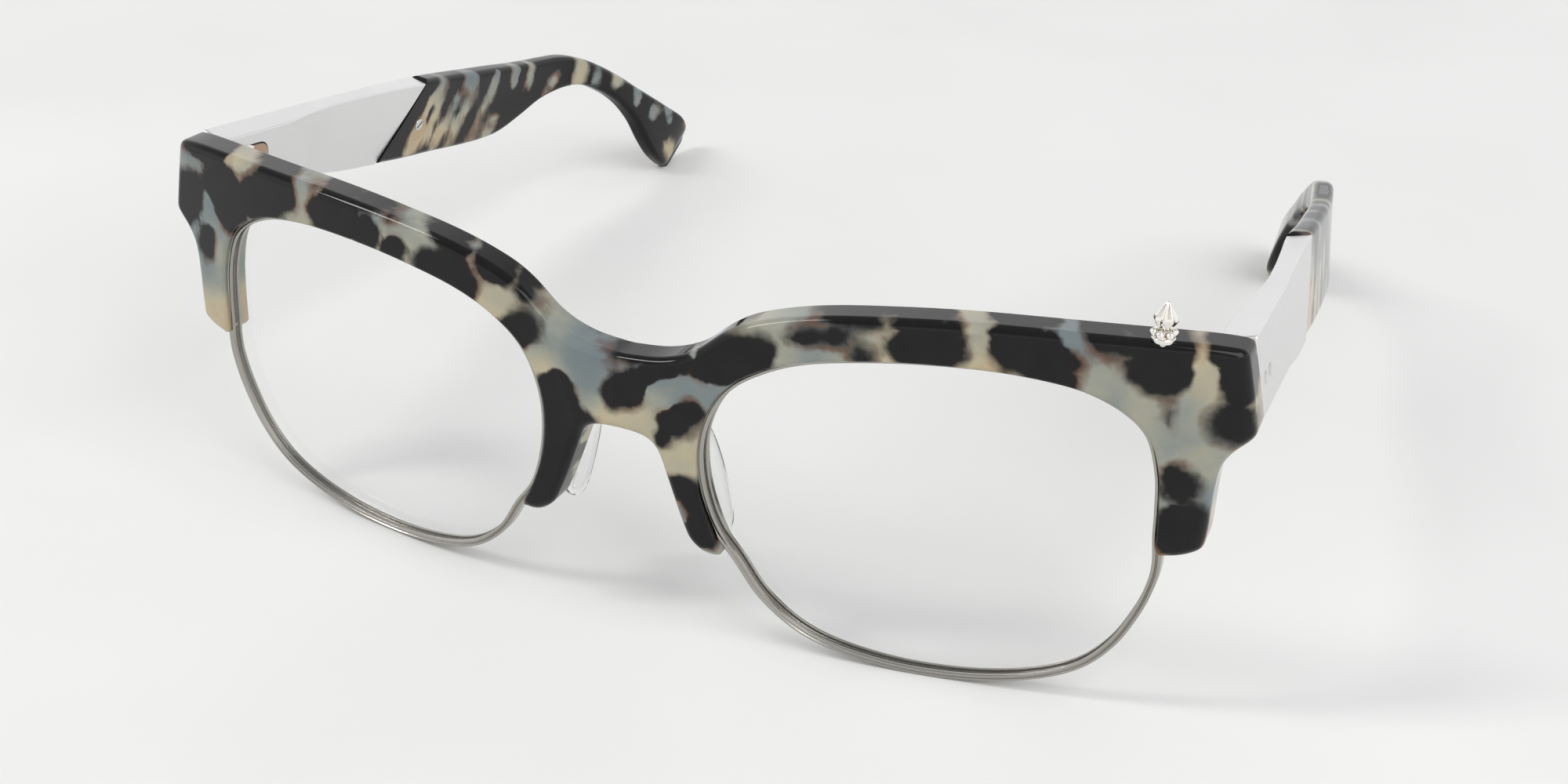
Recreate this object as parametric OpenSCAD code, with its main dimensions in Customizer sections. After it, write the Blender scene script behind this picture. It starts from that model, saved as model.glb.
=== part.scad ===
// Half rim eyeglasses: acetate brow front with metal eyewires, folding
// metal and acetate temples on five-knuckle hinges.
// +Z up, +X to the wearer's left (seen from the front: to the right),
// the front looks towards -Y and the temples run back towards +Y.
// The frame stands on the two rims and the two temple ends.

/* [Front] */
// overall width across the end-pieces
front_width = 143.5; // [136:0.5:150]
// thickness of the acetate front
front_t = 4.7; // [4.2:0.1:5.2]
// radius of the front's wrap, seen from above
wrap_r = 253; // [245:1:262]

/* [Eyewire and lens] */
// radial height of the eyewire
wire_h = 1.0; // [0.9:0.05:1.2]
// front-to-back width of the eyewire
wire_w = 1.9; // [1.7:0.05:2.1]
// depth of the lens groove
groove_d = 0.5; // [0.4:0.05:0.6]
// thickness of the lens
lens_t = 1.5; // [1.2:0.1:1.7]

/* [Hinge] */
// radius of the hinge barrel
barrel_r = 1.25; // [1.1:0.05:1.3]
// radius of the hinge screw
pin_r = 0.6; // [0.5:0.05:0.7]
// radial running clearance in the temple knuckles
pin_clear = 0.05; // [0.02:0.01:0.08]
// height of one knuckle
knuckle_h = 1.3; // [1.2:0.05:1.4]
// axial gap between knuckles
knuckle_gap = 0.08; // [0.05:0.01:0.12]

/* [Temple] */
// gap between the front and the temple's end
end_gap = 0.25; // [0.2:0.05:0.4]
// downward slope of the temple against the front, degrees
temple_drop = 5.7; // [5.2:0.1:6.2]
// outward lean of the blade's lower edge, degrees
blade_lean = 11.3; // [10:0.1:12]

/* [Hidden] */
$fn = 64;

k = front_width / 146.4;      // scale of the drawn outlines
stand_tilt = 5.04;            // the front leans back by this much when it stands
stand_y = -64.69;             // puts the origin in the middle of the footprint
stand_z = 49.165;

acetate = [0.20, 0.18, 0.17];
silver  = [0.80, 0.80, 0.82];
bronze  = [0.62, 0.47, 0.33];
clear   = [0.85, 0.90, 0.92, 0.35];

// ---- outlines, drawn from the front: [x, z], x from the middle, z from the top corner

// upper edge of the brow, from the bridge to the outer corner
brow_top = [[0,-11.8],[5.2,-11.2],[9.5,-9.5],[13.4,-6.3],[17.2,-4.25],[24,-2.35],
            [32.5,-1.1],[42,-0.25],[54,0.15],[66,0.3],[70.9,0]];
// outer side of the end-piece and its leg
brow_side = [[70.9,0],[72.0,-4.5],[73.0,-8.9],[73.2,-9.9],[72.6,-10.8],[70.9,-12.5],
             [69.9,-14.4],[69.6,-17.5],[69.6,-21.5],[69.5,-25]];
// slanted bottom of that leg
leg_foot = [[69.5,-25],[67.2,-26.1],[64.4,-26.5]];
// lower edge of the brow round the lens, from the outer leg to the nasal leg
brow_under = [[64.4,-26.5],[64.2,-20.5],[63.7,-16],[62.2,-11.6],[59.4,-8.8],[55,-6.8],
              [50,-5.9],[43.5,-5.6],[35,-6.1],[27,-7.3],[22,-8.55],[18,-10.3],[14.5,-12.7],
              [12.1,-15.8],[10.7,-19.8],[10.35,-24],[11,-28.7],[12.6,-33.3],[14.1,-36.1]];
// bottom of the nasal leg
nasal_foot = [[14.1,-36.1],[12.6,-36.4],[11,-36.0],[9.4,-34.7]];
// nose side, up to the middle of the bridge
nose_side = [[9.4,-34.7],[7.8,-30.8],[6.1,-26],[5.4,-24],[4.8,-22.9],[3.6,-22.1],[1.8,-21.8],[0,-21.75]];
// outer edge of the eyewire, all the way round
wire_edge = [[65.15,-27.5],[64.8,-24],[64.6,-20.5],[64.1,-16],[62.55,-11.35],[59.65,-8.5],[55.1,-6.4],
             [50,-5.5],[43.5,-5.2],[35,-5.7],[26.9,-6.9],[21.85,-8.15],[17.8,-9.95],[14.2,-12.4],
             [11.75,-15.6],[10.3,-19.7],[9.95,-24],[10.6,-28.8],[12.2,-33.45],[14.9,-37.3],[17.8,-41.95],
             [21.7,-45.7],[26.1,-48.0],[32,-49.3],[38.3,-49.7],[45.5,-49.1],[52.2,-47.4],[57.5,-44.6],
             [61.2,-40.3],[63.7,-34.9],[64.9,-30.5]];

// ---- curve helpers

function cr(a, b, c, d, t) =
  0.5 * (2*b + (c - a)*t + (2*a - 5*b + 4*c - d)*t*t + (3*b - a - 3*c + d)*t*t*t);
// open spline through p, n steps a span, without its last point
function open_spline(p, n) = let (m = len(p) - 1)
  [for (i = [0:m-1], s = [0:n-1])
    cr(i > 0 ? p[i-1] : 2*p[0] - p[1], p[i], p[i+1], i < m-1 ? p[i+2] : 2*p[m] - p[m-1], s/n)];
// closed spline
function ring_spline(p, n) = let (m = len(p))
  [for (i = [0:m-1], s = [0:n-1]) cr(p[(i+m-1)%m], p[i], p[(i+1)%m], p[(i+2)%m], s/n)];
function unit(v) = v / norm(v);
// moves a closed outline sideways (positive: inwards for a clockwise run)
function inset(p, d) = let (m = len(p))
  [for (i = [0:m-1]) let (t = unit(p[(i+1)%m] - p[(i+m-1)%m])) p[i] + d*[-t[1], t[0]]];
function mirrored(p) = [for (i = [len(p)-1:-1:0]) [-p[i][0], p[i][1]]];

half_front = k * concat(open_spline(brow_top, 4), open_spline(brow_side, 3), open_spline(leg_foot, 3),
                        open_spline(brow_under, 3), open_spline(nasal_foot, 3), open_spline(nose_side, 3));
front_line = concat(half_front, [k * nose_side[len(nose_side)-1]],
                    [for (i = [len(half_front)-1:-1:1]) [-half_front[i][0], half_front[i][1]]]);
wire_line = k * ring_spline(wire_edge, 3);

// ---- placing

module stand() { translate([0, stand_y, stand_z]) rotate([-stand_tilt, 0, 0]) children(); }
// the same, with a small flat where the piece meets the table
module stand_flat() {
  intersection() {
    stand() children();
    translate([-150, -150, 0]) cube([300, 300, 120]);
  }
}
// side = 1: viewer's right, side = -1: viewer's left
module on_side(side) { if (side < 0) mirror([1, 0, 0]) children(); else children(); }
// extrudes a front outline from y0 to y1
module slab(line, y0, y1) { translate([0, y1, 0]) rotate([90, 0, 0]) linear_extrude(y1 - y0) polygon(line); }
// everything between two concentric upright cylinders, measured behind the front face
module wrap(d0, d1) {
  translate([0, wrap_r, -60]) difference() {
    cylinder(r = wrap_r - d0, h = 75, $fn = 256);
    translate([0, 0, -1]) cylinder(r = wrap_r - d1, h = 77, $fn = 256);
  }
}
// the lens surface: a ring-shaped dome, curved more from top to bottom than across
dome_major = 115.15;
dome_minor = 136.2;
dome_z = -19.8;
module dome(d0, d1) {
  translate([0, wrap_r, dome_z]) rotate_extrude($fn = 256) difference() {
    intersection() {
      translate([dome_major, 0]) circle(r = dome_minor - d0, $fn = 256);
      translate([dome_major + 100, -40]) square([60, 80]);
    }
    translate([dome_major, 0]) circle(r = dome_minor - d1, $fn = 256);
  }
}

// ---- the acetate front

corner_x = 71 * k;           // top rear corner of the end-piece
corner_y = 14.75 * k;
pivot_x = corner_x - 5.6;    // hinge axis
pivot_y = corner_y + 2.0;
leaf_turn = asin(pivot_x / wrap_r);            // the wrap's slope at the hinge
rear_r = wrap_r - front_t;                     // radius of the front's back face
leaf_z = -6.0;                                 // middle of the hinge
stack_h = 5*knuckle_h + 4*knuckle_gap;
function knuckle_z(i) = leaf_z - stack_h/2 + i*(knuckle_h + knuckle_gap);

// stands at the front's back face at the hinge, X along the face, Y straight back from it
module at_leaf() { translate([0, wrap_r, 0]) rotate([0, 0, leaf_turn]) translate([0, -rear_r, 0]) children(); }

module lock_pocket(c) {
  translate([63.9*k - c, 9.6*k, -26.6*k - c]) cube([2.3 + 2*c, 6, 5.0 + 2*c]);
}

module front_body() {
  difference() {
    intersection() {
      slab(front_line, -3, 22);
      wrap(0, front_t);
    }
    for (side = [-1, 1]) on_side(side) {
      // channel that holds the eyewire
      intersection() { slab(wire_line, -3, 22); dome(-wire_w/2 - 0.03, wire_w/2 + 0.03); }
      // pocket for the closing lock
      lock_pocket(0.1);
      // seat of the hinge leaf and its rivet holes
      at_leaf() translate([-3.6, -0.9, leaf_z - 4.3]) cube([7.2, 2, 8.6]);
      at_leaf() for (z = [-3, 3]) translate([-1.9, 0, leaf_z + z]) rotate([90, 0, 0]) cylinder(r = 0.5, h = 3.4);
      // holes of the eyewire's fixing screws
      for (x = [23, 53]) fixing_screw(x, 0.02);
    }
    stud_at() translate([0, 0, -3.2]) cylinder(r = 0.6, h = 4);
    // flat seat under the ornament's disc
    stud_at() translate([0, 0, -0.01]) cylinder(r = 1.38, h = 2);
  }
}

// ---- eyewire, lens

module wire_ring() {
  intersection() {
    difference() {
      slab(wire_line, -3, 22);
      slab(inset(wire_line, wire_h), -4, 23);
    }
    dome(-wire_w/2, wire_w/2);
  }
}

module eyewire(side) {
  color(silver) on_side(side) difference() {
    union() {
      wire_ring();
      // closing lock behind the ring
      translate([64.0*k, 9.75*k, -26.4*k]) cube([2.1, 2.9, 4.6]);
    }
    // lens groove
    intersection() { slab(inset(wire_line, groove_d), -4, 23); dome(-0.45, 0.45); }
    // the lens side stays open behind the lock
    intersection() { slab(inset(wire_line, wire_h), -4, 23); dome(-4, 6); }
    // the split and the lock's screw hole
    translate([62.5*k, 6, -24.1*k]) cube([6, 8, 0.15]);
    translate([65.3*k, 11.6*k, -27*k]) cylinder(r = 0.52, h = 6);
    for (x = [23, 53]) fixing_screw(x, 0.02);
  }
}

module rim_lock_screws() {
  color(silver) for (side = [-1, 1]) on_side(side) translate([65.3*k, 11.6*k, 0]) {
    translate([0, 0, -26.8*k]) cylinder(r = 0.49, h = 4.9);
  }
}

// screw that stands in the groove's floor and reaches up into the brow
function wire_top(x) = x < 30 ? [23.2, -7.75] : [53.1, -6.0];
function wire_depth(x) = x < 30 ? 3.05 : 7.25;
module fixing_screw(x, c) {
  p = wire_top(x);
  translate([p[0]*k, wire_depth(x)*k, p[1]*k]) {
    translate([0, 0, -0.46]) cylinder(r = 0.4 + c, h = 0.26 + c);
    translate([0, 0, -0.3]) cylinder(r = 0.28 + c, h = 2.6 + c);
  }
}
module rim_fixing_screws() {
  color(silver) for (side = [-1, 1]) on_side(side) for (x = [23, 53]) fixing_screw(x, 0);
}

module lens(side) {
  color(clear) on_side(side) union() {
    intersection() { slab(inset(wire_line, wire_h + 0.04), -3, 22); dome(-lens_t/2, lens_t/2); }
    intersection() { slab(inset(wire_line, groove_d + 0.05), -3, 22); dome(-0.4, 0.4); }
  }
}

// ---- nose pads: clear ears glued behind the nasal legs

pad_line = [[5.08,-18.2],[7.0,-19.4],[8.7,-21.8],[10.1,-24.7],[10.9,-27.9],[11.2,-31],[11.2,-34.5],
            [10.6,-37.2],[8.8,-38.0],[6.8,-36.9],[5.08,-34.6]];
module nose_pad(side) {
  color(clear) on_side(side) translate([8.3*k, 0, -27*k]) rotate([0, -13, 0])
    translate([-0.9, 0, 27*k]) rotate([90, 0, 90]) linear_extrude(1.8)
      polygon(k * concat(open_spline(pad_line, 3), [pad_line[len(pad_line)-1]]));
}

// ---- hinge

module knuckles(first, count, r) {
  for (i = [0:count-1]) translate([pivot_x, pivot_y, knuckle_z(first + 2*i)]) cylinder(r = r, h = knuckle_h);
}

module hinge_front_leaf(side) {
  color(silver) on_side(side) difference() {
    union() {
      at_leaf() translate([-3.5, -0.88, leaf_z - 4.2]) cube([7.0, 0.86, 8.4]);
      knuckles(0, 3, barrel_r);
      for (i = [0:2]) translate([pivot_x - barrel_r, pivot_y - 3.6, knuckle_z(2*i)])
        cube([2*barrel_r, 3.6, knuckle_h]);
    }
    translate([pivot_x, pivot_y, leaf_z - 6]) cylinder(r = pin_r + 0.02, h = 12);
    at_leaf() for (z = [-3, 3]) translate([-1.9, 1, leaf_z + z]) rotate([90, 0, 0]) cylinder(r = 0.5, h = 3);
  }
}

module hinge_anchor_rivets() {
  color(silver) for (side = [-1, 1]) on_side(side) at_leaf() for (z = [-3, 3])
    translate([-1.9, 0.12, leaf_z + z]) rotate([90, 0, 0]) {
      cylinder(r = 0.8, h = 0.14);
      cylinder(r = 0.48, h = 3.4);
    }
}

module hinge_screw(side) {
  color(silver) on_side(side) translate([pivot_x, pivot_y, leaf_z]) {
    translate([0, 0, -stack_h/2 - 0.2]) cylinder(r = pin_r, h = stack_h + 0.4);
    translate([0, 0, stack_h/2]) difference() {
      cylinder(r = 1.05, h = 0.55);
      translate([-2, -0.12, 0.3]) cube([4, 0.24, 1]);
    }
  }
}

// ---- temples: local X outwards, Y back along the temple, Z up; zero at the top outer corner

module temple_at(side) {
  on_side(side) translate([corner_x, corner_y, 0]) rotate([-temple_drop, 0, 0]) children();
}
module leaned() { rotate([0, -blade_lean, 0]) children(); }

// metal section seen from the side [d, z]
metal_side = [[-2,0],[20,0.0],[40,0.0],[52.5,-0.15],[42.5,-12.2],[32,-11.7],[26,-11.0],[20,-10.4],[-2,-10.3]];
// metal section seen from above [lateral, d]
metal_plan = [[0,-2],[0,6],[-0.1,20],[-0.5,35],[-0.8,47],[-0.95,54],[-4.2,54],[-4.1,47],[-3.6,40],[-3.25,34],
              [-3.0,27],[-3.05,24],[-3.3,20.5],[-3.75,17],[-4.1,14.5],[-4.2,12],[-4.2,-2]];

// bronze leaf let into the inner face: [d, z] outline with a rounded rear end
function leaf_line(c) = let (z0 = -1.8 + c, z1 = -10.0 - c, e = 9.6 + c, r = 2.2)
  concat([[-2, z1], [-2, z0]],
         [for (a = [90:-15:0]) [e - r + r*cos(a), z0 - r + r*sin(a)]],
         [for (a = [0:-15:-90]) [e - r + r*cos(a), z1 + r + r*sin(a)]]);
rivet_d = [4.7, 7.7];
tongue_u = -2.62;

// everything behind the slanted plane where the acetate section begins
module behind_joint(c) {
  p = blade_top(blade[0]);
  v = unit(blade_bottom(blade[0]) - p);
  n = blade_in(blade[0]);
  w = cross(v, n);
  multmatrix([[n[0], v[0], w[0], p[0]], [n[1], v[1], w[1], p[1]], [n[2], v[2], w[2], p[2]], [0, 0, 0, 1]])
    translate([-8, -8, -c]) cube([20, 34, 9]);
}

module temple_metal(side) {
  color(silver) difference() {
    union() {
      difference() {
       intersection() {
        temple_at(side) leaned() intersection() {
          rotate([90, 0, 90]) translate([0, 0, -8]) linear_extrude(12) polygon(k * metal_side);
          translate([0, 0, -16]) linear_extrude(20) polygon(k * metal_plan);
        }
        translate([0, wrap_r, -30]) difference() {
          translate([-120, -300, 0]) cube([240, 400, 60]);
          difference() {
            translate([-150, -320, -1]) cube([300, 440, 62]);
            cylinder(r = rear_r - end_gap, h = 62, $fn = 256);
          }
        }
       }
       // slanted end, 0.04 in front of the acetate
       temple_at(side) behind_joint(0.04);
      }
      // tongue that enters the acetate
      temple_at(side) leaned() translate([tongue_u - 0.6, 38*k, -9.2*k]) cube([1.2, 22*k, 5.6*k]);
    }
    // seat of the bronze leaf
    temple_at(side) leaned() rotate([90, 0, 90]) translate([0, 0, -6]) linear_extrude(6 - 3.5)
      polygon(leaf_line(0.12));
    temple_at(side) leaned() for (d = rivet_d) translate([-6, d, -5.9]) rotate([0, 90, 0]) cylinder(r = 0.52, h = 8);
    tip_screw_hole(side, 0.02);
  }
}

module hinge_temple_leaf(side) {
  color(bronze) difference() {
    union() {
      intersection() {
        temple_at(side) leaned() rotate([90, 0, 90]) translate([0, 0, -4.3]) linear_extrude(0.78)
          polygon(leaf_line(0));
        translate([0, wrap_r, -30]) cylinder(r = rear_r - end_gap - 0.3, h = 62, $fn = 256);
      }
      on_side(side) {
        knuckles(1, 2, barrel_r);
        for (i = [0:1]) translate([pivot_x, pivot_y - barrel_r, knuckle_z(1 + 2*i)])
          cube([3.15 - 0.6*i, 2*barrel_r, knuckle_h]);
      }
    }
    on_side(side) translate([pivot_x, pivot_y, leaf_z - 6]) cylinder(r = pin_r + pin_clear, h = 12);
    temple_at(side) leaned() for (d = rivet_d) translate([-6, d, -5.9]) rotate([0, 90, 0]) cylinder(r = 0.52, h = 4);
  }
}

module temple_rivets(side) {
  color(silver) temple_at(side) leaned() for (d = rivet_d) translate([0, d, -5.9]) rotate([0, 90, 0]) {
    translate([0, 0, -4.42]) cylinder(r = 0.5, h = 4.46);
    translate([0, 0, -4.5]) cylinder(r = 0.75, h = 0.2);
    translate([0, 0, 0]) cylinder(r = 0.75, h = 0.06);
  }
}

// acetate section as a row of cross-sections:
// [top d, top z, bottom d, bottom z, lateral of the outer face, thickness, lean]
blade = [
  [49.5,-0.1, 39.5,-12.1, -0.85,3.35,0.200],
  [53.5,-0.3, 46.0,-12.6, -0.92,3.30,0.200],
  [58.0,-0.6, 54.0,-13.0, -1.00,3.20,0.200],
  [64.0,-1.0, 62.0,-13.5, -1.20,3.15,0.195],
  [70.0,-1.4, 69.0,-13.7, -1.40,3.10,0.190],
  [75.0,-1.8, 73.8,-13.2, -1.60,3.10,0.180],
  [80.5,-2.1, 79.0,-11.4, -1.95,3.05,0.160],
  [85.5,-2.2, 84.0, -9.4, -2.40,3.00,0.140],
  [90.0,-2.4, 89.0, -8.4, -2.90,3.00,0.110],
  [94.0,-3.1, 93.0, -8.1, -3.60,3.00,0.090],
  [98.0,-4.4, 96.3, -8.5, -4.35,3.00,0.070],
  [102.2,-6.2, 99.6, -9.8, -5.15,3.05,0.050],
  [106.4,-8.3,102.9,-11.5, -6.10,3.10,0.030],
  [111.0,-10.9,106.0,-13.8, -7.10,3.15,0.010],
  [116.0,-13.6,108.7,-17.0, -8.30,3.20,0],
  [120.6,-16.1,110.8,-20.8, -9.40,3.20,0],
  [124.4,-18.2,113.0,-23.8,-10.20,3.10,0],
  [126.2,-20.2,115.8,-26.0,-10.70,2.70,0],
  [126.0,-22.2,118.2,-27.2,-10.90,2.00,0]];
blade_fine = concat(open_spline(blade, 3), [blade[len(blade)-1]]);
function blade_top(b) = k * [b[4], b[0], b[1]];
function blade_bottom(b) = k * [b[4] + b[6]*(b[1] - b[3]), b[2], b[3]];
function blade_in(b) = let (v = unit(blade_bottom(b) - blade_top(b)), x = [-1, 0, 0]) unit(x - (x*v)*v);
// corner-rounded section, t across, s down, as shares of the rounding radius
round_steps = [[1,0],[0.5,0.134],[0.134,0.5],[0,1]];
function section(b) =
  let (p = blade_top(b), q = blade_bottom(b), v = unit(q - p), n = blade_in(b),
       h = norm(q - p), t = b[5]*k, r = min(0.9, 0.42*t))
  concat([for (c = round_steps) p + (r*c[0])*n + (r*c[1])*v],
         [for (i = [3:-1:0]) let (c = round_steps[i]) p + (r*c[0])*n + (h - r*c[1])*v],
         [for (c = round_steps) p + (t - r*c[0])*n + (h - r*c[1])*v],
         [for (i = [3:-1:0]) let (c = round_steps[i]) p + (t - r*c[0])*n + (r*c[1])*v]);
module blade_solid() {
  m = 16;
  s = len(blade_fine);
  pts = [for (b = blade_fine) each section(b)];
  // rounded end: a smaller last section and a centre point
  lastc = (section(blade_fine[s-1])[0] + section(blade_fine[s-1])[8]) / 2;
  cap = [for (q = section(blade_fine[s-1])) lastc + 0.72*(q - lastc) + [-0.1, -0.15, -0.75]];
  tip = lastc + [-0.15, -0.35, -1.0];
  all_pts = concat(pts, cap, [tip]);
  rows = s + 1;
  polyhedron(all_pts, concat(
    [[for (i = [0:m-1]) i]],
    [for (r = [0:rows-2], i = [0:m-1]) [r*m + i, (r+1)*m + i, (r+1)*m + (i+1)%m]],
    [for (r = [0:rows-2], i = [0:m-1]) [r*m + i, (r+1)*m + (i+1)%m, r*m + (i+1)%m]],
    [for (i = [0:m-1]) [(rows-1)*m + i, rows*m, (rows-1)*m + (i+1)%m]]));
}
function blade_mid(b) = (blade_top(b) + blade_bottom(b))/2 + (b[5]*k/2)*blade_in(b);
wire_run = [4, 6, 8, 10, 12, 13, 14, 15, 16];
// the wire runs on from the end of the tongue
function wire_start(d) = let (v = -6.4*k)
  [tongue_u*cos(blade_lean) - v*sin(blade_lean), 60*k + d, tongue_u*sin(blade_lean) + v*cos(blade_lean)];
function cross_ring(p, t, r, m) = let (n = unit([1, 0, 0] - t[0]*t), b = cross(t, n))
  [for (j = [0:m-1]) p + r*cos(360*j/m)*n + r*sin(360*j/m)*b];
module core_run(r, first) {
  knots = concat([wire_start(-0.3)], [for (i = wire_run) blade_mid(blade[i])]);
  line = concat(open_spline(knots, 3), [knots[len(knots)-1]]);
  run = [for (i = [first:len(line)-1]) line[i]];
  m = 12;
  s = len(run);
  pts = [for (i = [0:s-1]) each cross_ring(run[i], unit(run[min(i+1, s-1)] - run[max(i-1, 0)]), r, m)];
  polyhedron(pts, concat(
    [[for (j = [0:m-1]) j]],
    [for (i = [0:s-2], j = [0:m-1]) [i*m + j, (i+1)*m + j, (i+1)*m + (j+1)%m]],
    [for (i = [0:s-2], j = [0:m-1]) [i*m + j, (i+1)*m + (j+1)%m, i*m + (j+1)%m]],
    [[for (j = [m-1:-1:0]) (s-1)*m + j]]));
}
module core_wire(side) { color(silver) temple_at(side) core_run(0.7, 1); }

module temple_tip(side) {
  color(acetate) difference() {
    temple_at(side) blade_solid();
    temple_at(side) leaned() translate([tongue_u - 0.63, 36*k, -9.2*k - 0.03]) cube([1.26, 24*k + 0.03, 5.6*k + 0.06]);
    temple_at(side) core_run(0.73, 0);
    tip_screw_hole(side, 0.02);
  }
}

screw_d = 48.5*k;
screw_z = -7.0*k;
module tip_screw_hole(side, c) {
  temple_at(side) leaned() translate([-4.05 - c, screw_d, screw_z]) rotate([0, 90, 0]) {
    translate([0, 0, -1]) cylinder(r = 0.95 + c, h = 1.6 + c, $fn = 32);
    cylinder(r = 0.55 + c, h = 2.7 + c, $fn = 32);
  }
}
module tip_screw(side) {
  color(silver) temple_at(side) leaned() translate([-4.05, screw_d, screw_z]) rotate([0, 90, 0]) difference() {
    union() {
      cylinder(r = 0.95, h = 0.6, $fn = 32);
      cylinder(r = 0.55, h = 2.7, $fn = 32);
    }
    translate([-0.13, -2, -1]) cube([0.26, 4, 1.25]);
  }
}

// ---- ornament on the brow

module stud_at() { translate([62*k, 8.4*k, 0.25*k]) children(); }
module stud_beads() {
  color(silver) stud_at() {
    difference() {
      translate([0, 0, 0]) cylinder(r = 1.35, h = 0.7, $fn = 32);
      translate([0, 0, -1]) cylinder(r = 0.62, h = 3, $fn = 32);
    }
    for (a = [0:60:300]) rotate([0, 0, a]) translate([1.1, 0, 0.98]) sphere(r = 0.46, $fn = 24);
  }
}
module stud_spike() {
  color(silver) stud_at() translate([0, 0, 1.45]) rotate_extrude($fn = 48)
    polygon([[0, 0], [0.75, 0], [1.38, 1.0], [1.3, 1.45], [0, 3.15]]);
}
module stud_peg() { color(silver) stud_at() translate([0, 0, -3.1]) cylinder(r = 0.58, h = 4.4, $fn = 32); }

// ---- nodes

color(acetate) stand() front_body();  // brow_front
stand_flat() eyewire(-1);  // eyewire_left
stand_flat() eyewire(1);  // eyewire_right
stand() rim_lock_screws();
stand() rim_fixing_screws();
stand() lens(-1);  // lens_left
stand() lens(1);  // lens_right
stand() nose_pad(-1);  // nose_pad_left
stand() nose_pad(1);  // nose_pad_right
stand() hinge_front_leaf(-1);  // hinge_front_leaf_left
stand() hinge_front_leaf(1);  // hinge_front_leaf_right
stand() hinge_anchor_rivets();
stand() hinge_screw(-1);  // hinge_screw_left
stand() hinge_screw(1);  // hinge_screw_right
stand() stud_beads();
stand() stud_spike();
stand() stud_peg();
stand() temple_metal(-1);  // temple_metal_left
stand() temple_metal(1);  // temple_metal_right
stand() hinge_temple_leaf(-1);  // hinge_temple_leaf_left
stand() hinge_temple_leaf(1);  // hinge_temple_leaf_right
stand() temple_rivets(-1);  // temple_rivets_left
stand() temple_rivets(1);  // temple_rivets_right
stand_flat() temple_tip(-1);  // temple_tip_left
stand_flat() temple_tip(1);  // temple_tip_right
stand() core_wire(-1);  // core_wire_left
stand() core_wire(1);  // core_wire_right
stand() tip_screw(-1);  // tip_screw_left
stand() tip_screw(1);  // tip_screw_right
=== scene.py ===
import bpy, bmesh, math
import mathutils.geometry
import numpy as np
from mathutils import Matrix, Vector


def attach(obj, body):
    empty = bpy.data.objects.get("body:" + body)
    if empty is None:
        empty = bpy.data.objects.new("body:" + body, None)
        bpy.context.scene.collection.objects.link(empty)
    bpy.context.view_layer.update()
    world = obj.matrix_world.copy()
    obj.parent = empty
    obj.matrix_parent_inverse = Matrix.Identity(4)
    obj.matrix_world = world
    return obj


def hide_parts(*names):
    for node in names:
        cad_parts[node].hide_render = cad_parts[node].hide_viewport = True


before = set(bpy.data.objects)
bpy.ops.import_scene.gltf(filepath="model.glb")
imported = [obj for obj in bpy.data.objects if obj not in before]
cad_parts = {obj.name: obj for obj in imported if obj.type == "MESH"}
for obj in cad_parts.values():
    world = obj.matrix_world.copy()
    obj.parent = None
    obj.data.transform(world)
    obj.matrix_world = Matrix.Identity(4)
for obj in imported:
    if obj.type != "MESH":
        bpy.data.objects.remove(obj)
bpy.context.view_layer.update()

# ------------------------------------------------------------------ design frame
# millimetres, seen from the front: x to the viewer's right, y back, z up from the top corner
K = 143.5 / 146.4
TILT = math.radians(5.04)
SY, SZ = -64.69, 49.165
WRAP, THICK = 253.0, 4.7
DROP = math.radians(5.7)
LEAN = math.radians(11.3)
CORNER = np.array([71.0 * K, 14.75 * K, 0.0])


def stand(p):
    p = np.asarray(p, float)
    c, s = math.cos(TILT), math.sin(TILT)
    return np.stack([p[..., 0], p[..., 1] * c + p[..., 2] * s + SY,
                     -p[..., 1] * s + p[..., 2] * c + SZ], -1) * 0.001


def stand_dir(v):
    c, s = math.cos(TILT), math.sin(TILT)
    return np.array([v[0], v[1] * c + v[2] * s, -v[1] * s + v[2] * c])


def temple_point(p, side):
    """local temple point (lateral, d, z) to the design frame"""
    p = np.asarray(p, float)
    c, s = math.cos(DROP), math.sin(DROP)
    q = np.stack([p[..., 0], p[..., 1] * c + p[..., 2] * s, -p[..., 1] * s + p[..., 2] * c], -1) + CORNER
    q[..., 0] *= side
    return q


def leaned(p):
    p = np.asarray(p, float)
    c, s = math.cos(LEAN), math.sin(LEAN)
    return np.stack([p[..., 0] * c - p[..., 2] * s, p[..., 1], p[..., 0] * s + p[..., 2] * c], -1)


# ------------------------------------------------------------------ outlines
brow_top = [(0, -11.8), (5.2, -11.2), (9.5, -9.5), (13.4, -6.3), (17.2, -4.25), (24, -2.35),
            (32.5, -1.1), (42, -0.25), (54, 0.15), (66, 0.3), (70.9, 0)]
brow_side = [(70.9, 0), (72.0, -4.5), (73.0, -8.9), (73.2, -9.9), (72.6, -10.8), (70.9, -12.5),
             (69.9, -14.4), (69.6, -17.5), (69.6, -21.5), (69.5, -25)]
leg_foot = [(69.5, -25), (67.2, -26.1), (64.4, -26.5)]
brow_under = [(64.4, -26.5), (64.2, -20.5), (63.7, -16), (62.2, -11.6), (59.4, -8.8), (55, -6.8),
              (50, -5.9), (43.5, -5.6), (35, -6.1), (27, -7.3), (22, -8.55), (18, -10.3), (14.5, -12.7),
              (12.1, -15.8), (10.7, -19.8), (10.35, -24), (11, -28.7), (12.6, -33.3), (14.1, -36.1)]
nasal_foot = [(14.1, -36.1), (12.6, -36.4), (11, -36.0), (9.4, -34.7)]
nose_side = [(9.4, -34.7), (7.8, -30.8), (6.1, -26), (5.4, -24), (4.8, -22.9), (3.6, -22.1), (1.8, -21.8), (0, -21.75)]
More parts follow.
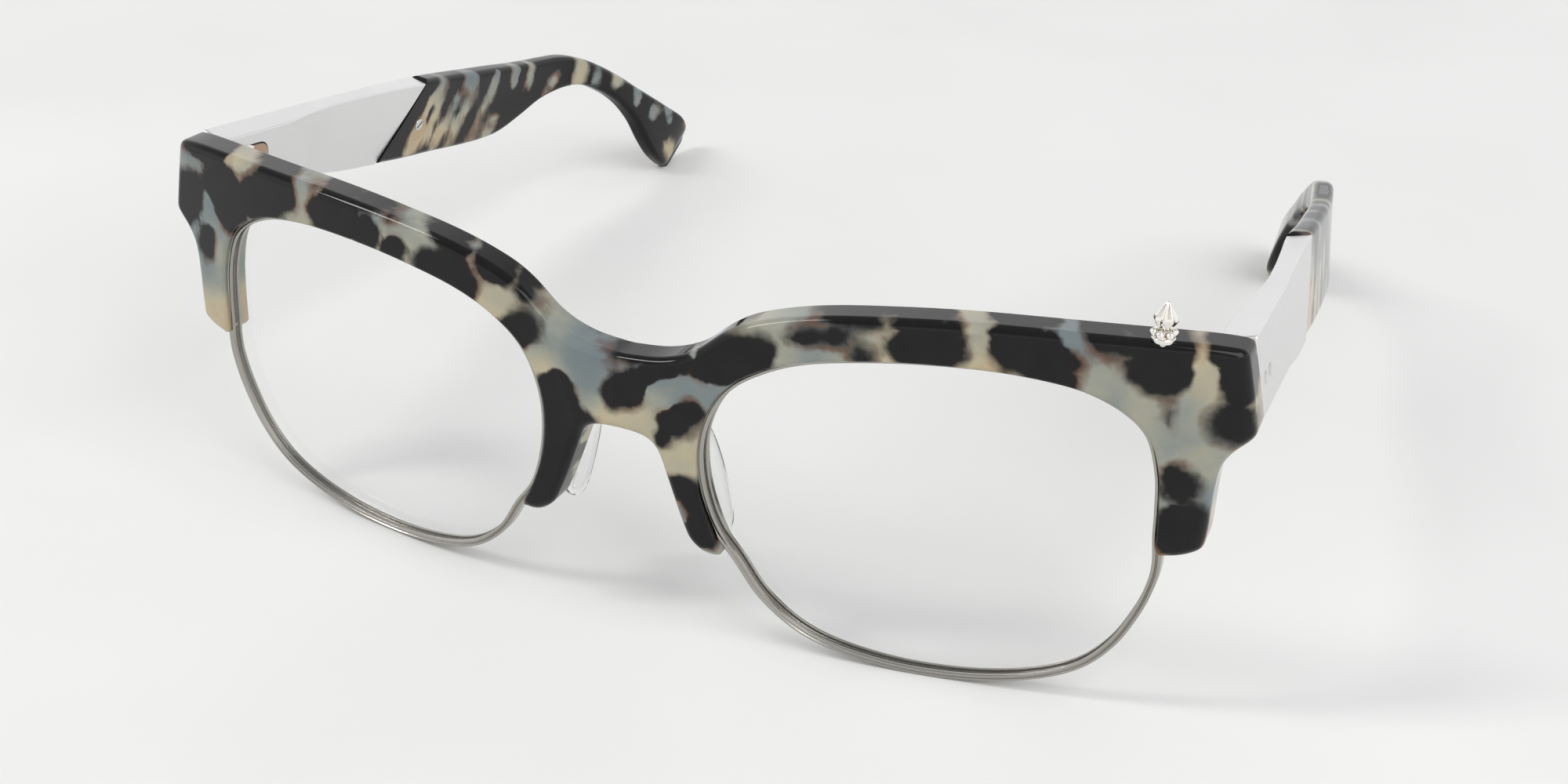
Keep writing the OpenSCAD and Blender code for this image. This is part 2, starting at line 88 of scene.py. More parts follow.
wire_edge = [(65.15, -27.5), (64.8, -24), (64.6, -20.5), (64.1, -16), (62.55, -11.35), (59.65, -8.5), (55.1, -6.4),
             (50, -5.5), (43.5, -5.2), (35, -5.7), (26.9, -6.9), (21.85, -8.15), (17.8, -9.95), (14.2, -12.4),
             (11.75, -15.6), (10.3, -19.7), (9.95, -24), (10.6, -28.8), (12.2, -33.45), (14.9, -37.3), (17.8, -41.95),
             (21.7, -45.7), (26.1, -48.0), (32, -49.3), (38.3, -49.7), (45.5, -49.1), (52.2, -47.4), (57.5, -44.6),
             (61.2, -40.3), (63.7, -34.9), (64.9, -30.5)]
blade = np.array([
    [49.5, -0.1, 39.5, -12.1, -0.85, 3.35, 0.200],
    [53.5, -0.3, 46.0, -12.6, -0.92, 3.30, 0.200],
    [58.0, -0.6, 54.0, -13.0, -1.00, 3.20, 0.200],
    [64.0, -1.0, 62.0, -13.5, -1.20, 3.15, 0.195],
    [70.0, -1.4, 69.0, -13.7, -1.40, 3.10, 0.190],
    [75.0, -1.8, 73.8, -13.2, -1.60, 3.10, 0.180],
    [80.5, -2.1, 79.0, -11.4, -1.95, 3.05, 0.160],
    [85.5, -2.2, 84.0, -9.4, -2.40, 3.00, 0.140],
    [90.0, -2.4, 89.0, -8.4, -2.90, 3.00, 0.110],
    [94.0, -3.1, 93.0, -8.1, -3.60, 3.00, 0.090],
    [98.0, -4.4, 96.3, -8.5, -4.35, 3.00, 0.070],
    [102.2, -6.2, 99.6, -9.8, -5.15, 3.05, 0.050],
    [106.4, -8.3, 102.9, -11.5, -6.10, 3.10, 0.030],
    [111.0, -10.9, 106.0, -13.8, -7.10, 3.15, 0.010],
    [116.0, -13.6, 108.7, -17.0, -8.30, 3.20, 0],
    [120.6, -16.1, 110.8, -20.8, -9.40, 3.20, 0],
    [124.4, -18.2, 113.0, -23.8, -10.20, 3.10, 0],
    [126.2, -20.2, 115.8, -26.0, -10.70, 2.70, 0],
    [126.0, -22.2, 118.2, -27.2, -10.90, 2.00, 0]])


def catmull(a, b, c, d, t):
    return 0.5 * (2 * b + (c - a) * t + (2 * a - 5 * b + 4 * c - d) * t * t + (3 * b - a - 3 * c + d) * t ** 3)


def open_spline(p, n, last=False):
    p = np.array(p, float)
    q = np.vstack([2 * p[0] - p[1], p, 2 * p[-1] - p[-2]])
    out = [catmull(q[i], q[i + 1], q[i + 2], q[i + 3], s / n) for i in range(len(p) - 1) for s in range(n)]
    return np.array(out + ([p[-1]] if last else []))


def ring_spline(p, n):
    p = np.array(p, float)
    m = len(p)
    return np.array([catmull(p[i - 1], p[i], p[(i + 1) % m], p[(i + 2) % m], s / n) for i in range(m) for s in range(n)])


def resample(p, step, extra=None):
    """closed polyline at equal steps; extra columns are carried along"""
    q = np.vstack([p, p[:1]])
    d = np.r_[0, np.cumsum(np.linalg.norm(np.diff(q[:, :2], axis=0), axis=1))]
    n = int(round(d[-1] / step))
    s = np.arange(n) * d[-1] / n
    return np.stack([np.interp(s, d, q[:, j]) for j in range(q.shape[1])], 1)


def smooth_ring(p, step, sigma):
    """rounds the corners of a closed equal-step polyline"""
    half = int(4 * sigma / step) + 1
    w = np.exp(-0.5 * (np.arange(-half, half + 1) * step / sigma) ** 2)
    w /= w.sum()
    return sum(w[i + half] * np.roll(p, -i, axis=0) for i in range(-half, half + 1))


def area(p):
    x, y = p[:, 0], p[:, 1]
    return 0.5 * np.sum(x * np.roll(y, -1) - np.roll(x, -1) * y)


def inward(p):
    """unit inward normals of a counter-clockwise closed outline"""
    t = np.roll(p, -1, axis=0) - np.roll(p, 1, axis=0)
    t /= np.linalg.norm(t, axis=1)[:, None]
    return np.stack([-t[:, 1], t[:, 0]], 1)


# ------------------------------------------------------------------ mesh helpers
def obj_from(name, verts, faces, normals=None, mats=()):
    me = bpy.data.meshes.new(name)
    me.from_pydata([tuple(v) for v in verts], [], [tuple(int(i) for i in f) for f in faces])
    me.update()
    me.polygons.foreach_set("use_smooth", [True] * len(me.polygons))
    if normals is not None:
        me.normals_split_custom_set_from_vertices([tuple(n) for n in normals])
    ob = bpy.data.objects.new(name, me)
    bpy.context.scene.collection.objects.link(ob)
    for m in mats:
        me.materials.append(m)
    return ob


def inside(q, ring):
    """even-odd test of points q against a closed outline"""
    x, y = q[:, 0][:, None], q[:, 1][:, None]
    x0, y0 = ring[:, 0][None], ring[:, 1][None]
    x1, y1 = np.roll(ring[:, 0], -1)[None], np.roll(ring[:, 1], -1)[None]
    cross = ((y0 > y) != (y1 > y)) & (x < (x1 - x0) * (y - y0) / np.where(y1 == y0, 1e-12, y1 - y0) + x0)
    return cross.sum(1) % 2 == 1


def fill(ring, grid, extra):
    """triangles of the area inside a closed outline, with inner points on a grid; ring vertices keep their order"""
    lo, hi = ring.min(0), ring.max(0)
    gx, gy = np.meshgrid(np.arange(lo[0] + 0.37 * grid, hi[0], grid), np.arange(lo[1] + 0.41 * grid, hi[1], grid))
    q = np.column_stack([gx.ravel(), gy.ravel()])
    ex = np.array(extra, float).reshape(-1, 2)

    def away(p, from_, d):
        if not len(from_) or not len(p):
            return np.ones(len(p), bool)
        keep = np.ones(len(p), bool)
        for i in range(0, len(p), 400):
            keep[i:i + 400] = (((p[i:i + 400, None] - from_[None]) ** 2).sum(2).min(1) > d * d)
        return keep
    if len(ex):
        ex = ex[inside(ex, ring) & away(ex, ring, 0.12)]
    q = q[inside(q, ring) & away(q, ring, 0.45 * grid)]
    q = q[away(q, ex, 0.3)]
    pts = np.vstack([ring, ex, q])
    n = len(ring)
    res = mathutils.geometry.delaunay_2d_cdt([Vector(p) for p in pts], [(i, (i + 1) % n) for i in range(n)], [], 1, 1e-6)
    verts, faces, orig = np.array([v[:] for v in res[0]]), res[2], res[3]
    back = [o[0] if o else -1 for o in orig]
    return verts, faces, back, len(pts), pts


def plate(outline, radius, depth, grid, extra=(), steps=6, wall=3, back_radius=None):
    """A flat plate with rounded edges in (u, w, v): w runs from 0 to depth, inner points on a grid.
    Returns verts, normals, faces before any bending."""
    p = outline
    nin = inward(p)
    r = np.broadcast_to(np.asarray(radius, float), (len(p),))
    rb = r if back_radius is None else np.broadcast_to(np.asarray(back_radius, float), (len(p),))
    rows, nors = [], []
    for j in range(steps + 1):
        a = math.pi / 2 * (1 - j / steps)
        rows.append(np.column_stack([p + nin * (r * (1 - math.cos(a)))[:, None], r * (1 - math.sin(a))]))
        nors.append(np.column_stack([-nin * math.cos(a), np.full(len(p), -math.sin(a))]))
    for j in range(1, wall):
        t = j / wall
        rows.append(np.column_stack([p, r * (1 - t) + (depth - rb) * t]))
        nors.append(np.column_stack([-nin, np.zeros(len(p))]))
    for j in range(steps + 1):
        a = math.pi / 2 * j / steps
        rows.append(np.column_stack([p + nin * (rb * (1 - math.cos(a)))[:, None], depth - rb * (1 - math.sin(a))]))
        nors.append(np.column_stack([-nin * math.cos(a), np.full(len(p), math.sin(a))]))
    n = len(p)
    V = [np.column_stack([q[:, 0], q[:, 2], q[:, 1]]) for q in rows]
    N = [np.column_stack([q[:, 0], q[:, 2], q[:, 1]]) for q in nors]
    F = []
    for k in range(len(rows) - 1):
        for i in range(n):
            F.append((k * n + i, k * n + (i + 1) % n, (k + 1) * n + (i + 1) % n, (k + 1) * n + i))
    total = n * len(rows)
    for ring_at, w, sign in ((0, 0.0, -1.0), (len(rows) - 1, depth, 1.0)):
        verts, faces, back, np_, pts = fill(rows[ring_at][:, :2], grid, extra)
        index = {}
        add, tri = [], []
        for i, (v, o) in enumerate(zip(verts, back)):
            if 0 <= o < n:
                index[i] = ring_at * n + o
            else:
                index[i] = total + len(add)
                add.append((v[0], w, v[1]))
        V.append(np.array(add).reshape(-1, 3))
        N.append(np.tile([0.0, sign, 0.0], (len(add), 1)))
        total += len(add)
        for f in faces:
            g = [index[i] for i in f]
            a2 = area(np.array([verts[i] for i in f]))
            if abs(a2) < 1e-9 or len(set(g)) < 3:
                continue
            if (a2 > 0) == (sign < 0):
                g = g[::-1]
            F.append(tuple(g))
    V, N = np.vstack(V), np.vstack(N)
    F = [f if len(f) == 3 else f for f in F]
    return V, N, F


def bend(V, N, fn, flip):
    """maps flat plate points by fn and carries the normals along"""
    P = fn(V)
    h = 1e-3
    J = np.stack([(fn(V + np.eye(3)[i] * h) - fn(V - np.eye(3)[i] * h)) / (2 * h) for i in range(3)], 2)
    M = np.linalg.inv(J).transpose(0, 2, 1)
    M = np.einsum("nij,nj->ni", M, N)
    M /= np.linalg.norm(M, axis=1)[:, None]
    return P, M


def make_plate(name, V, N, F, fn, mat):
    P, M = bend(V, N, fn, False)
    faces = []
    for f in F:
        g = np.cross(P[f[1]] - P[f[0]], P[f[-1]] - P[f[0]])
        faces.append(f if float(np.dot(g, M[list(f)].mean(0))) >= 0 else f[::-1])
    return obj_from(name, P, faces, M, [mat])


# ------------------------------------------------------------------ materials
def new_mat(name):
    m = bpy.data.materials.new(name)
    m.use_nodes = True
    nt = m.node_tree
    return m, nt, nt.nodes["Principled BSDF"]


def nd(nt, kind, **kw):
    n = nt.nodes.new(kind)
    for k, v in kw.items():
        setattr(n, k, v)
    return n


def link(nt, a, b):
    nt.links.new(a, b)


def ramp(nt, fac, stops, interp="LINEAR"):
    r = nd(nt, "ShaderNodeValToRGB")
    r.color_ramp.interpolation = interp
    e = r.color_ramp.elements
    while len(e) < len(stops):
        e.new(0.5)
    for el, (pos, col) in zip(e, stops):
        el.position = pos
        el.color = (*col, 1) if len(col) == 3 else col
    link(nt, fac, r.inputs["Fac"])
    return r.outputs["Color"]


def math_node(nt, op, a, b=None, clamp=False):
    n = nd(nt, "ShaderNodeMath", operation=op, use_clamp=clamp)
    for i, x in enumerate((a, b)):
        if x is None:
            continue
        if isinstance(x, (int, float)):
            n.inputs[i].default_value = x
        else:
            link(nt, x, n.inputs[i])
    return n.outputs[0]


def mix_rgb(nt, fac, a, b):
    n = nd(nt, "ShaderNodeMix", data_type="RGBA")
    for s, x in (("Factor", fac), ("A", a), ("B", b)):
        sock = [i for i in n.inputs if i.name == s and (i.type == ("VALUE" if s == "Factor" else "RGBA"))][0]
        if isinstance(x, (int, float)):
            sock.default_value = x
        elif isinstance(x, tuple):
            sock.default_value = (*x, 1)
        else:
            link(nt, x, sock)
    return [o for o in n.outputs if o.type == "RGBA"][0]


def mapping(nt, scale, loc=(0, 0, 0), rot=(0, 0, 0)):
    t = nd(nt, "ShaderNodeTexCoord")
    m = nd(nt, "ShaderNodeMapping")
    m.inputs["Scale"].default_value = scale
    m.inputs["Location"].default_value = loc
    m.inputs["Rotation"].default_value = rot
    link(nt, t.outputs["Object"], m.inputs["Vector"])
    return m.outputs["Vector"]


def noise(nt, vec, scale, detail=3.0, rough=0.5):
    n = nd(nt, "ShaderNodeTexNoise")
    n.inputs["Scale"].default_value = scale
    n.inputs["Detail"].default_value = detail
    n.inputs["Roughness"].default_value = rough
    link(nt, vec, n.inputs["Vector"])
    return n


def acetate_material(name, loc, stretch=(1, 1, 1), rot=(0, 0, 0)):
    """mottled cellulose acetate: near-black blots in a blue-grey to cream ground, brown where they meet.
    'blot' holds the distance into the nearest dark blot in mm, 'tone' runs from blue-grey 0 to cream 1"""
    m, nt, b = new_mat(name)
    co = mapping(nt, stretch, loc, rot)
    blot = nd(nt, "ShaderNodeAttribute", attribute_name="blot").outputs["Fac"]
    tone = nd(nt, "ShaderNodeAttribute", attribute_name="tone").outputs["Fac"]
    wob = noise(nt, co, 215.0, 3.0, 0.5)
    fine = noise(nt, co, 900.0, 2.0, 0.5)
    val = math_node(nt, "ADD", blot, math_node(nt, "MULTIPLY", math_node(nt, "SUBTRACT", wob.outputs["Fac"], 0.5), 3.6))
    val = math_node(nt, "ADD", val, math_node(nt, "MULTIPLY", math_node(nt, "SUBTRACT", fine.outputs["Fac"], 0.5), 0.35))
    drift = noise(nt, co, 210.0, 3.0, 0.55)
    tone = math_node(nt, "ADD", tone, math_node(nt, "MULTIPLY", math_node(nt, "SUBTRACT", drift.outputs["Fac"], 0.5), 0.9))
    t2 = math_node(nt, "ADD", math_node(nt, "MULTIPLY", tone, 0.5), 0.2)
    light = ramp(nt, t2, [(0.10, (0.130, 0.170, 0.195)), (0.30, (0.200, 0.235, 0.230)), (0.45, (0.330, 0.335, 0.275)),
                          (0.62, (0.500, 0.440, 0.300)), (0.78, (0.520, 0.370, 0.215)), (0.95, (0.330, 0.120, 0.040))])
    cloud = noise(nt, co, 420.0, 4.0, 0.6)
    light = mix_rgb(nt, math_node(nt, "MULTIPLY", cloud.outputs["Fac"], 0.28), light, (0.085, 0.095, 0.10))
    black = ramp(nt, cloud.outputs["Fac"], [(0.3, (0.0030, 0.0030, 0.0034)), (0.8, (0.0075, 0.0068, 0.0068))])
    half_ = math_node(nt, "ADD", math_node(nt, "MULTIPLY", val, 0.25), 0.5)
    soft = noise(nt, co, 140.0, 1.0, 0.5)
    width = math_node(nt, "ADD", math_node(nt, "MULTIPLY", math_node(nt, "POWER", soft.outputs["Fac"], 2.0), 2.0), 0.05)
    # mask: 0 in the dark, 1 in the light, softer in some places than in others
    mm = nd(nt, "ShaderNodeMapRange", interpolation_type="SMOOTHSTEP")
    link(nt, val, mm.inputs["Value"])
    link(nt, width, mm.inputs["From Min"])
    link(nt, math_node(nt, "MULTIPLY", width, -1.0), mm.inputs["From Max"])
    mask = mm.outputs["Result"]
    brown = ramp(nt, half_, [(0.30, (0, 0, 0)), (0.43, (1, 1, 1)), (0.52, (1, 1, 1)), (0.60, (0, 0, 0))])
    col = mix_rgb(nt, mask, black, light)
    warm = noise(nt, co, 150.0, 1.0, 0.5)
    amount = math_node(nt, "MULTIPLY", brown, ramp(nt, warm.outputs["Fac"], [(0.46, (0, 0, 0)), (0.66, (1, 1, 1))]))
    col = mix_rgb(nt, math_node(nt, "MULTIPLY", amount, 0.6), col, (0.110, 0.036, 0.012))
    link(nt, col, b.inputs["Base Color"])
    b.inputs["IOR"].default_value = 1.34
    rough = noise(nt, co, 900.0, 3.0, 0.6)
    link(nt, math_node(nt, "ADD", math_node(nt, "MULTIPLY", rough.outputs["Fac"], 0.03), 0.06), b.inputs["Roughness"])
    bump = nd(nt, "ShaderNodeBump")
    bump.inputs["Strength"].default_value = 0.05
    bump.inputs["Distance"].default_value = 0.0001
    link(nt, noise(nt, co, 240.0, 2.0, 0.5).outputs["Fac"], bump.inputs["Height"])
    link(nt, bump.outputs[0], b.inputs["Normal"])
    return m


# dark blots on the front: centre x and z, half length, half width, slope in degrees (mm)
FRONT_BLOTS = [
    (-64.3, 0.4, 4.4, 1.1, 0), (-68.7, -7.7, 4.6, 2.2, 60), (-61.2, -3.8, 3.0, 2.8, 55), (-59.6, -7.9, 2.6, 1.7, 35),
    (-52.8, -3.3, 5.0, 3.0, 25), (-40.6, -2.7, 4.0, 2.7, 25), (-35.6, -3.8, 2.2, 1.7, 70), (-31.7, -4.9, 1.4, 1.0, 35),
    (-37.0, 0.6, 7.3, 1.6, -5), (-23.0, -1.9, 3.3, 1.2, -10), (-23.6, -6.8, 4.3, 3.2, -5), (-16.3, -4.0, 3.0, 1.4, -5),
    (-12.5, -6.5, 0.8, 0.4, -50), (-13.4, -11.3, 3.3, 2.3, 40), (-8.4, -18.7, 3.0, 2.1, 60), (-8.3, -24.7, 5.5, 2.5, 80),
    (-10.1, -31.5, 4.2, 2.7, 65), (-6.0, -19.1, 1.6, 0.8, -70), (-4.5, -20.9, 1.0, 0.8, -10), (1.1, -15.3, 3.2, 2.0, 35),
    (4.5, -12.6, 3.2, 1.3, 30), (8.2, -18.1, 2.9, 1.8, 40), (6.1, -20.9, 1.4, 1.0, 75), (8.3, -26.8, 2.3, 1.2, 5),
    (11.2, -30.9, 3.4, 1.4, -70), (10.8, -33.2, 2.1, 1.4, 15), (4.6, -10.9, 4.8, 0.9, 10), (14.9, -8.9, 5.0, 2.8, 25),
    (24.5, -4.5, 3.6, 1.0, 15), (26.2, -3.9, 1.8, 1.2, 15), (29.5, -5.8, 1.5, 1.3, 0), (36.4, -3.8, 4.1, 2.6, 0),
    (47.9, -2.6, 4.9, 2.6, -10), (50.0, -5.2, 2.5, 1.2, 0), (28.1, -2.0, 3.5, 0.7, 5), (35.8, -1.4, 3.6, 0.8, 5),
    (46.3, -0.8, 3.3, 0.9, 0), (58.5, -0.3, 5.6, 1.4, 0), (61.1, -3.0, 3.5, 2.4, -5), (62.6, -8.4, 1.0, 0.3, -85),
    (68.3, -0.9, 2.4, 1.4, -10), (69.1, -3.5, 3.0, 2.0, -75), (69.2, -8.4, 2.5, 2.3, -50), (64.6, -16.6, 2.2, 1.8, -80),
    (65.9, -22.2, 3.9, 2.8, -80), (-6.0, -22.6, 2.6, 1.5, 70), (-7.2, -27.0, 3.0, 1.6, 75), (-65.5, -12.5, 2.0, 1.0, 60)]
# ground colour: x, z, tone
FRONT_TONES = [
    (-5, -15, 0.0), (-3, -16, 0.1), (-4, -19, 0.7), (0, -19, 0.9), (2, -21, 0.9), (5, -15, 0.2), (10, -14, 0.2),
    (9, -12, 0.3), (4, -18, 0.6), (8, -23, 0.8), (6, -24, 0.9), (9, -30, 0.2), (12, -35, 0.5), (-10, -16, 0.8),
    (-65, -7, 0.2), (-59, -5, 0.3), (-47, -2, 0.2), (-45, -4, 0.8), (-35, -5, 0.9), (-34, -2, 0.3), (-26, -2, 0.3),
    (-28, -5, 0.6), (-17, -3, 0.4), (-15, -8, 0.8), (-11, -7, 0.6), (-9, -11, 0.3), (-2, -12, 0.0), (-66, -23, 1.0),
    (-67, -17, 0.2), (-63, -15, 0.4), (-58, 2, 0.8), (-54, 2, 0.5), (9, -13, 0.1), (20, -7, 0.6), (24, -7, 0.3),
    (28, -6, 0.6), (32, -4, 0.9), (33, -6, 0.9), (28, -4, 0.3), (42, -3, 0.9), (42, -5, 0.9), (40, -2, 0.4),
    (51, -1, 0.0), (52, -2, 0.1), (55, -5, 0.2), (52, -6, 0.6), (54, -6, 0.8), (58, -7, 0.5), (61, -8, 0.4),
    (60, -10, 0.8), (65, -3, 0.8), (63, -6, 0.6), (65, -8, 0.2), (64, -11, 0.1), (67, -6, 0.8), (67, -14, 0.9),
    (68, -13, 0.3), (68, -17, 0.2), (68, -24, 1.4)]
# light flecks on a temple's acetate: d, z, half length, half width, slope, tone
TEMPLE_FLECKS = [
    (52.0, -2.2, 2.2, 0.6, 75, 0.2), (47.5, -10.3, 3.2, 1.9, 50, 0.9), (51.5, -7.5, 3.4, 1.2, 60, 0.9), (49.2, -5.5, 2.4, 0.8, 60, 1.0),
    (54.5, -10.0, 3.0, 1.3, 60, 0.9), (56.5, -6.5, 2.4, 0.8, 65, 0.3), (58.5, -10.8, 3.0, 1.3, 65, 0.8), (61.0, -7.2, 2.2, 0.9, 60, 0.6),
    (60.5, -2.4, 1.8, 1.3, 60, 0.0), (66.8, -6.6, 1.9, 0.9, 60, 0.6), (69.5, -11.9, 2.4, 1.3, 40, 0.5), (64.8, -11.8, 1.6, 0.9, 60, 0.8),
    (68.0, -3.2, 1.4, 0.6, 60, 0.2), (74.0, -3.6, 2.0, 0.7, 70, 0.3), (78.5, -3.9, 2.3, 0.7, 80, 0.5), (84.5, -7.6, 2.0, 0.7, 40, 0.5),
    (92.2, -5.2, 3.6, 1.3, 85, 0.8), (96.5, -6.5, 1.6, 0.5, 70, 0.1), (101.5, -8.0, 2.0, 1.1, 50, 0.7), (106.0, -12.5, 1.5, 0.9, 60, 0.2),
    (105.5, -8.8, 1.2, 0.6, -30, 0.1), (110.5, -15.8, 1.6, 0.7, 30, 0.3), (115.0, -16.8, 2.6, 1.0, 70, 0.1), (121.5, -19.0, 1.7, 0.7, 20, 1.3),
    (113.8, -23.4, 2.2, 1.1, -50, 0.9), (122.0, -24.3, 1.8, 1.1, 60, 0.9)]


def ellipse_field(x, z, spots):
    """smallest rough distance to a set of ellipses, negative inside"""
    best = np.full(len(x), 1e3)
    for cx, cz, a, b, deg, *_ in spots:
        c, s_ = math.cos(math.radians(deg)), math.sin(math.radians(deg))
        u = (x - cx) * c + (z - cz) * s_
        v = -(x - cx) * s_ + (z - cz) * c
        q = np.sqrt((u / a) ** 2 + (v / b) ** 2)
        g = np.sqrt((u / a ** 2) ** 2 + (v / b ** 2) ** 2) + 1e-9
        best = np.minimum(best, np.where(q > 0.3, (q - 1) * q / g, (q - 1) * b))
    return best


def tone_field(x, z, marks, sigma):
    w = np.zeros(len(x)) + 1e-6
    t = np.zeros(len(x)) + 0.5e-6
    for cx, cz, v in marks:
        k = np.exp(-0.5 * ((x - cx) ** 2 + (z - cz) ** 2) / sigma ** 2)
        w += k
        t += k * v
    return t / w


def carry(ob, blot, tone):
    for key, val in (("blot", blot), ("tone", tone)):
        at = ob.data.attributes.new(key, "FLOAT", "POINT")
        at.data.foreach_set("value", np.asarray(val, np.float32))


def metal_material(name, base, rough, brushed=0.0, axis=(1, 1, 1), tint=0.06):
    m, nt, b = new_mat(name)
    co = mapping(nt, axis)
    n1 = noise(nt, co, 900.0, 4.0, 0.6)
    n2 = noise(nt, mapping(nt, (1, 1, 1)), 70.0, 3.0, 0.6)
    lo = tuple(c * (1 - tint) for c in base)
    link(nt, mix_rgb(nt, n2.outputs["Fac"], lo, base), b.inputs["Base Color"])
    b.inputs["Metallic"].default_value = 1.0
    link(nt, math_node(nt, "ADD", math_node(nt, "MULTIPLY", n1.outputs["Fac"], 0.10 + brushed * 0.15), rough - 0.05), b.inputs["Roughness"])
    if brushed:
        bump = nd(nt, "ShaderNodeBump")
        bump.inputs["Strength"].default_value = brushed
        bump.inputs["Distance"].default_value = 0.00002
        link(nt, n1.outputs["Fac"], bump.inputs["Height"])
        link(nt, bump.outputs[0], b.inputs["Normal"])
    return m


ACETATE = acetate_material("acetate_front", (0.031, 0.012, 0.043))
ACETATE_T = acetate_material("acetate_temples", (0.211, 0.05, 0.013))
RIM = metal_material("eyewire_silver", (0.39, 0.375, 0.345), 0.20, 0.15)
TEMPLE = metal_material("temple_silver", (0.80, 0.80, 0.80), 0.30, 0.25, (0.25, 0.02, 1.0))
HINGE = metal_material("hinge_silver", (0.62, 0.61, 0.60), 0.27, 0.2)
SCREW = metal_material("screw_steel", (0.70, 0.69, 0.67), 0.2)
BRONZE = metal_material("bronze_leaf", (0.50, 0.36, 0.26), 0.34, 0.3, (1.0, 0.05, 1.0), 0.15)
STUD = metal_material("stud_silver", (0.86, 0.83, 0.78), 0.07)


def lens_material():
    m, nt, b = new_mat("lens_clear")
    nt.nodes.remove(b)
    out = nt.nodes["Material Output"]
    tr = nd(nt, "ShaderNodeBsdfTransparent")
    gl = nd(nt, "ShaderNodeBsdfGlossy")
    gl.inputs["Roughness"].default_value = 0.015
    gl.inputs["Color"].default_value = (0.95, 0.97, 1.0, 1)
    lw = nd(nt, "ShaderNodeLayerWeight")
    lw.inputs["Blend"].default_value = 0.5
    refl = math_node(nt, "ADD", math_node(nt, "MULTIPLY", math_node(nt, "POWER", lw.outputs["Facing"], 4.0), 0.4), 0.012)
    smear = noise(nt, mapping(nt, (1, 1, 1)), 55.0, 3.0, 0.6)
    link(nt, ramp(nt, smear.outputs["Fac"], [(0.3, (0.990, 0.993, 0.991)), (0.7, (0.996, 0.997, 0.996))]), tr.inputs["Color"])
    mix = nd(nt, "ShaderNodeMixShader")
    link(nt, refl, mix.inputs[0])
    link(nt, tr.outputs[0], mix.inputs[1])
    link(nt, gl.outputs[0], mix.inputs[2])
    link(nt, mix.outputs[0], out.inputs["Surface"])
    return m


def pad_material():
    m, nt, b = new_mat("pad_clear")
    co = mapping(nt, (1, 1, 1))
    b.inputs["Transmission Weight"].default_value = 1.0
    b.inputs["IOR"].default_value = 1.40
    n = noise(nt, co, 260.0, 3.0, 0.5)
    link(nt, ramp(nt, n.outputs["Fac"], [(0.3, (0.90, 0.92, 0.92)), (0.7, (0.97, 0.97, 0.96))]), b.inputs["Base Color"])
    link(nt, math_node(nt, "ADD", math_node(nt, "MULTIPLY", n.outputs["Fac"], 0.06), 0.03), b.inputs["Roughness"])
    return m


LENS = lens_material()
PAD = pad_material()


# painted shade: a near-black material for thin sheets laid where a gap or recess would only be in shadow (round the
# hinge leaf, round and across the screw heads)
def gap_shade_material():
    m, nt, b = new_mat("gap_shadow")
    n = noise(nt, mapping(nt, (1, 1, 1)), 900.0, 2.0, 0.5)
    link(nt, ramp(nt, n.outputs["Fac"], [(0.3, (0.006, 0.006, 0.007)), (0.7, (0.012, 0.011, 0.011))]), b.inputs["Base Color"])
    b.inputs["Roughness"].default_value = 0.7
    return m


PAINTED_GAP_SHADE = gap_shade_material()

# ------------------------------------------------------------------ the acetate front
def wrap_front(x):
    return WRAP - np.sqrt(WRAP ** 2 - x ** 2)


def wrap_back(x):
    return WRAP - np.sqrt((WRAP - THICK) ** 2 - x ** 2)


# crease between the bridge and each brow: from the top edge down to the nose arch
CREASE_TOP = np.array([10.4, -8.9]) * K
CREASE_LOW = np.array([5.4, -22.7]) * K
CR_DIR = (CREASE_LOW - CREASE_TOP) / np.linalg.norm(CREASE_LOW - CREASE_TOP)
CR_NOR = np.array([-CR_DIR[1], CR_DIR[0]])          # points outwards (+x)


def crease_depth(x, z):
    """how far the brow's face falls back outside the crease"""
    ax = np.abs(x)
    s = (ax - CREASE_TOP[0]) * CR_NOR[0] + (z - CREASE_TOP[1]) * CR_NOR[1]
    s = 0.5 * (s + np.sqrt(s * s + 0.03))            # soft start, 0 inside
    return 0.13 * s * np.exp(-s / 3.5)


def front_map(V):
    x, w, z = V[:, 0], V[:, 1], V[:, 2]
    f = wrap_front(x) + crease_depth(x, z)
    b = wrap_back(x)
    t = w / THICK
    return stand(np.column_stack([x, f * (1 - t) + b * t, z]))


half = np.vstack([open_spline(brow_top, 12), open_spline(brow_side, 10), open_spline(leg_foot, 8),
                  open_spline(brow_under, 10), open_spline(nasal_foot, 8), open_spline(nose_side, 8, True)])
tag = np.concatenate([np.zeros(12 * 10), np.zeros(10 * 9), np.zeros(8 * 2), np.ones(10 * 18), np.zeros(8 * 3), np.zeros(8 * 7 + 1)])
half = np.column_stack([half * K, tag])
other = half[::-1][1:-1].copy()
other[:, 0] *= -1
full = np.vstack([half, other])
full = resample(full, 0.1)
full = smooth_ring(full, 0.1, 0.62)
full = resample(full, 0.3)
if area(full) < 0:
    full = full[::-1]
edge_r = 1.15 - 0.70 * full[:, 2]
crease_points = []
for sx in (-1, 1):
    for o in (-0.5, -0.25, 0.0, 0.3, 0.7, 1.2):
        for t in np.arange(-1.5, 16, 0.45):
            q = CREASE_TOP + CR_DIR * t + CR_NOR * o
            crease_points.append((sx * q[0], q[1]))
V, N, F = plate(full[:, :2], edge_r, THICK, 0.8, crease_points, 6, 5, 0.55)
front = make_plate("brow_front_shell", V, N, F, front_map, ACETATE)
bx, bz = V[:, 0] + 0.35 * V[:, 1], V[:, 2] - 0.12 * V[:, 1]
carry(front, 0.60 - 0.20 * np.tanh(bx / 15.0) - ellipse_field(bx, bz, FRONT_BLOTS), tone_field(bx, bz, FRONT_TONES, 2.2))
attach(front, "front")
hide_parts("brow_front")

# ------------------------------------------------------------------ lens dome
MAJOR, MINOR, DOME_Z = 115.15, 136.2, -19.8


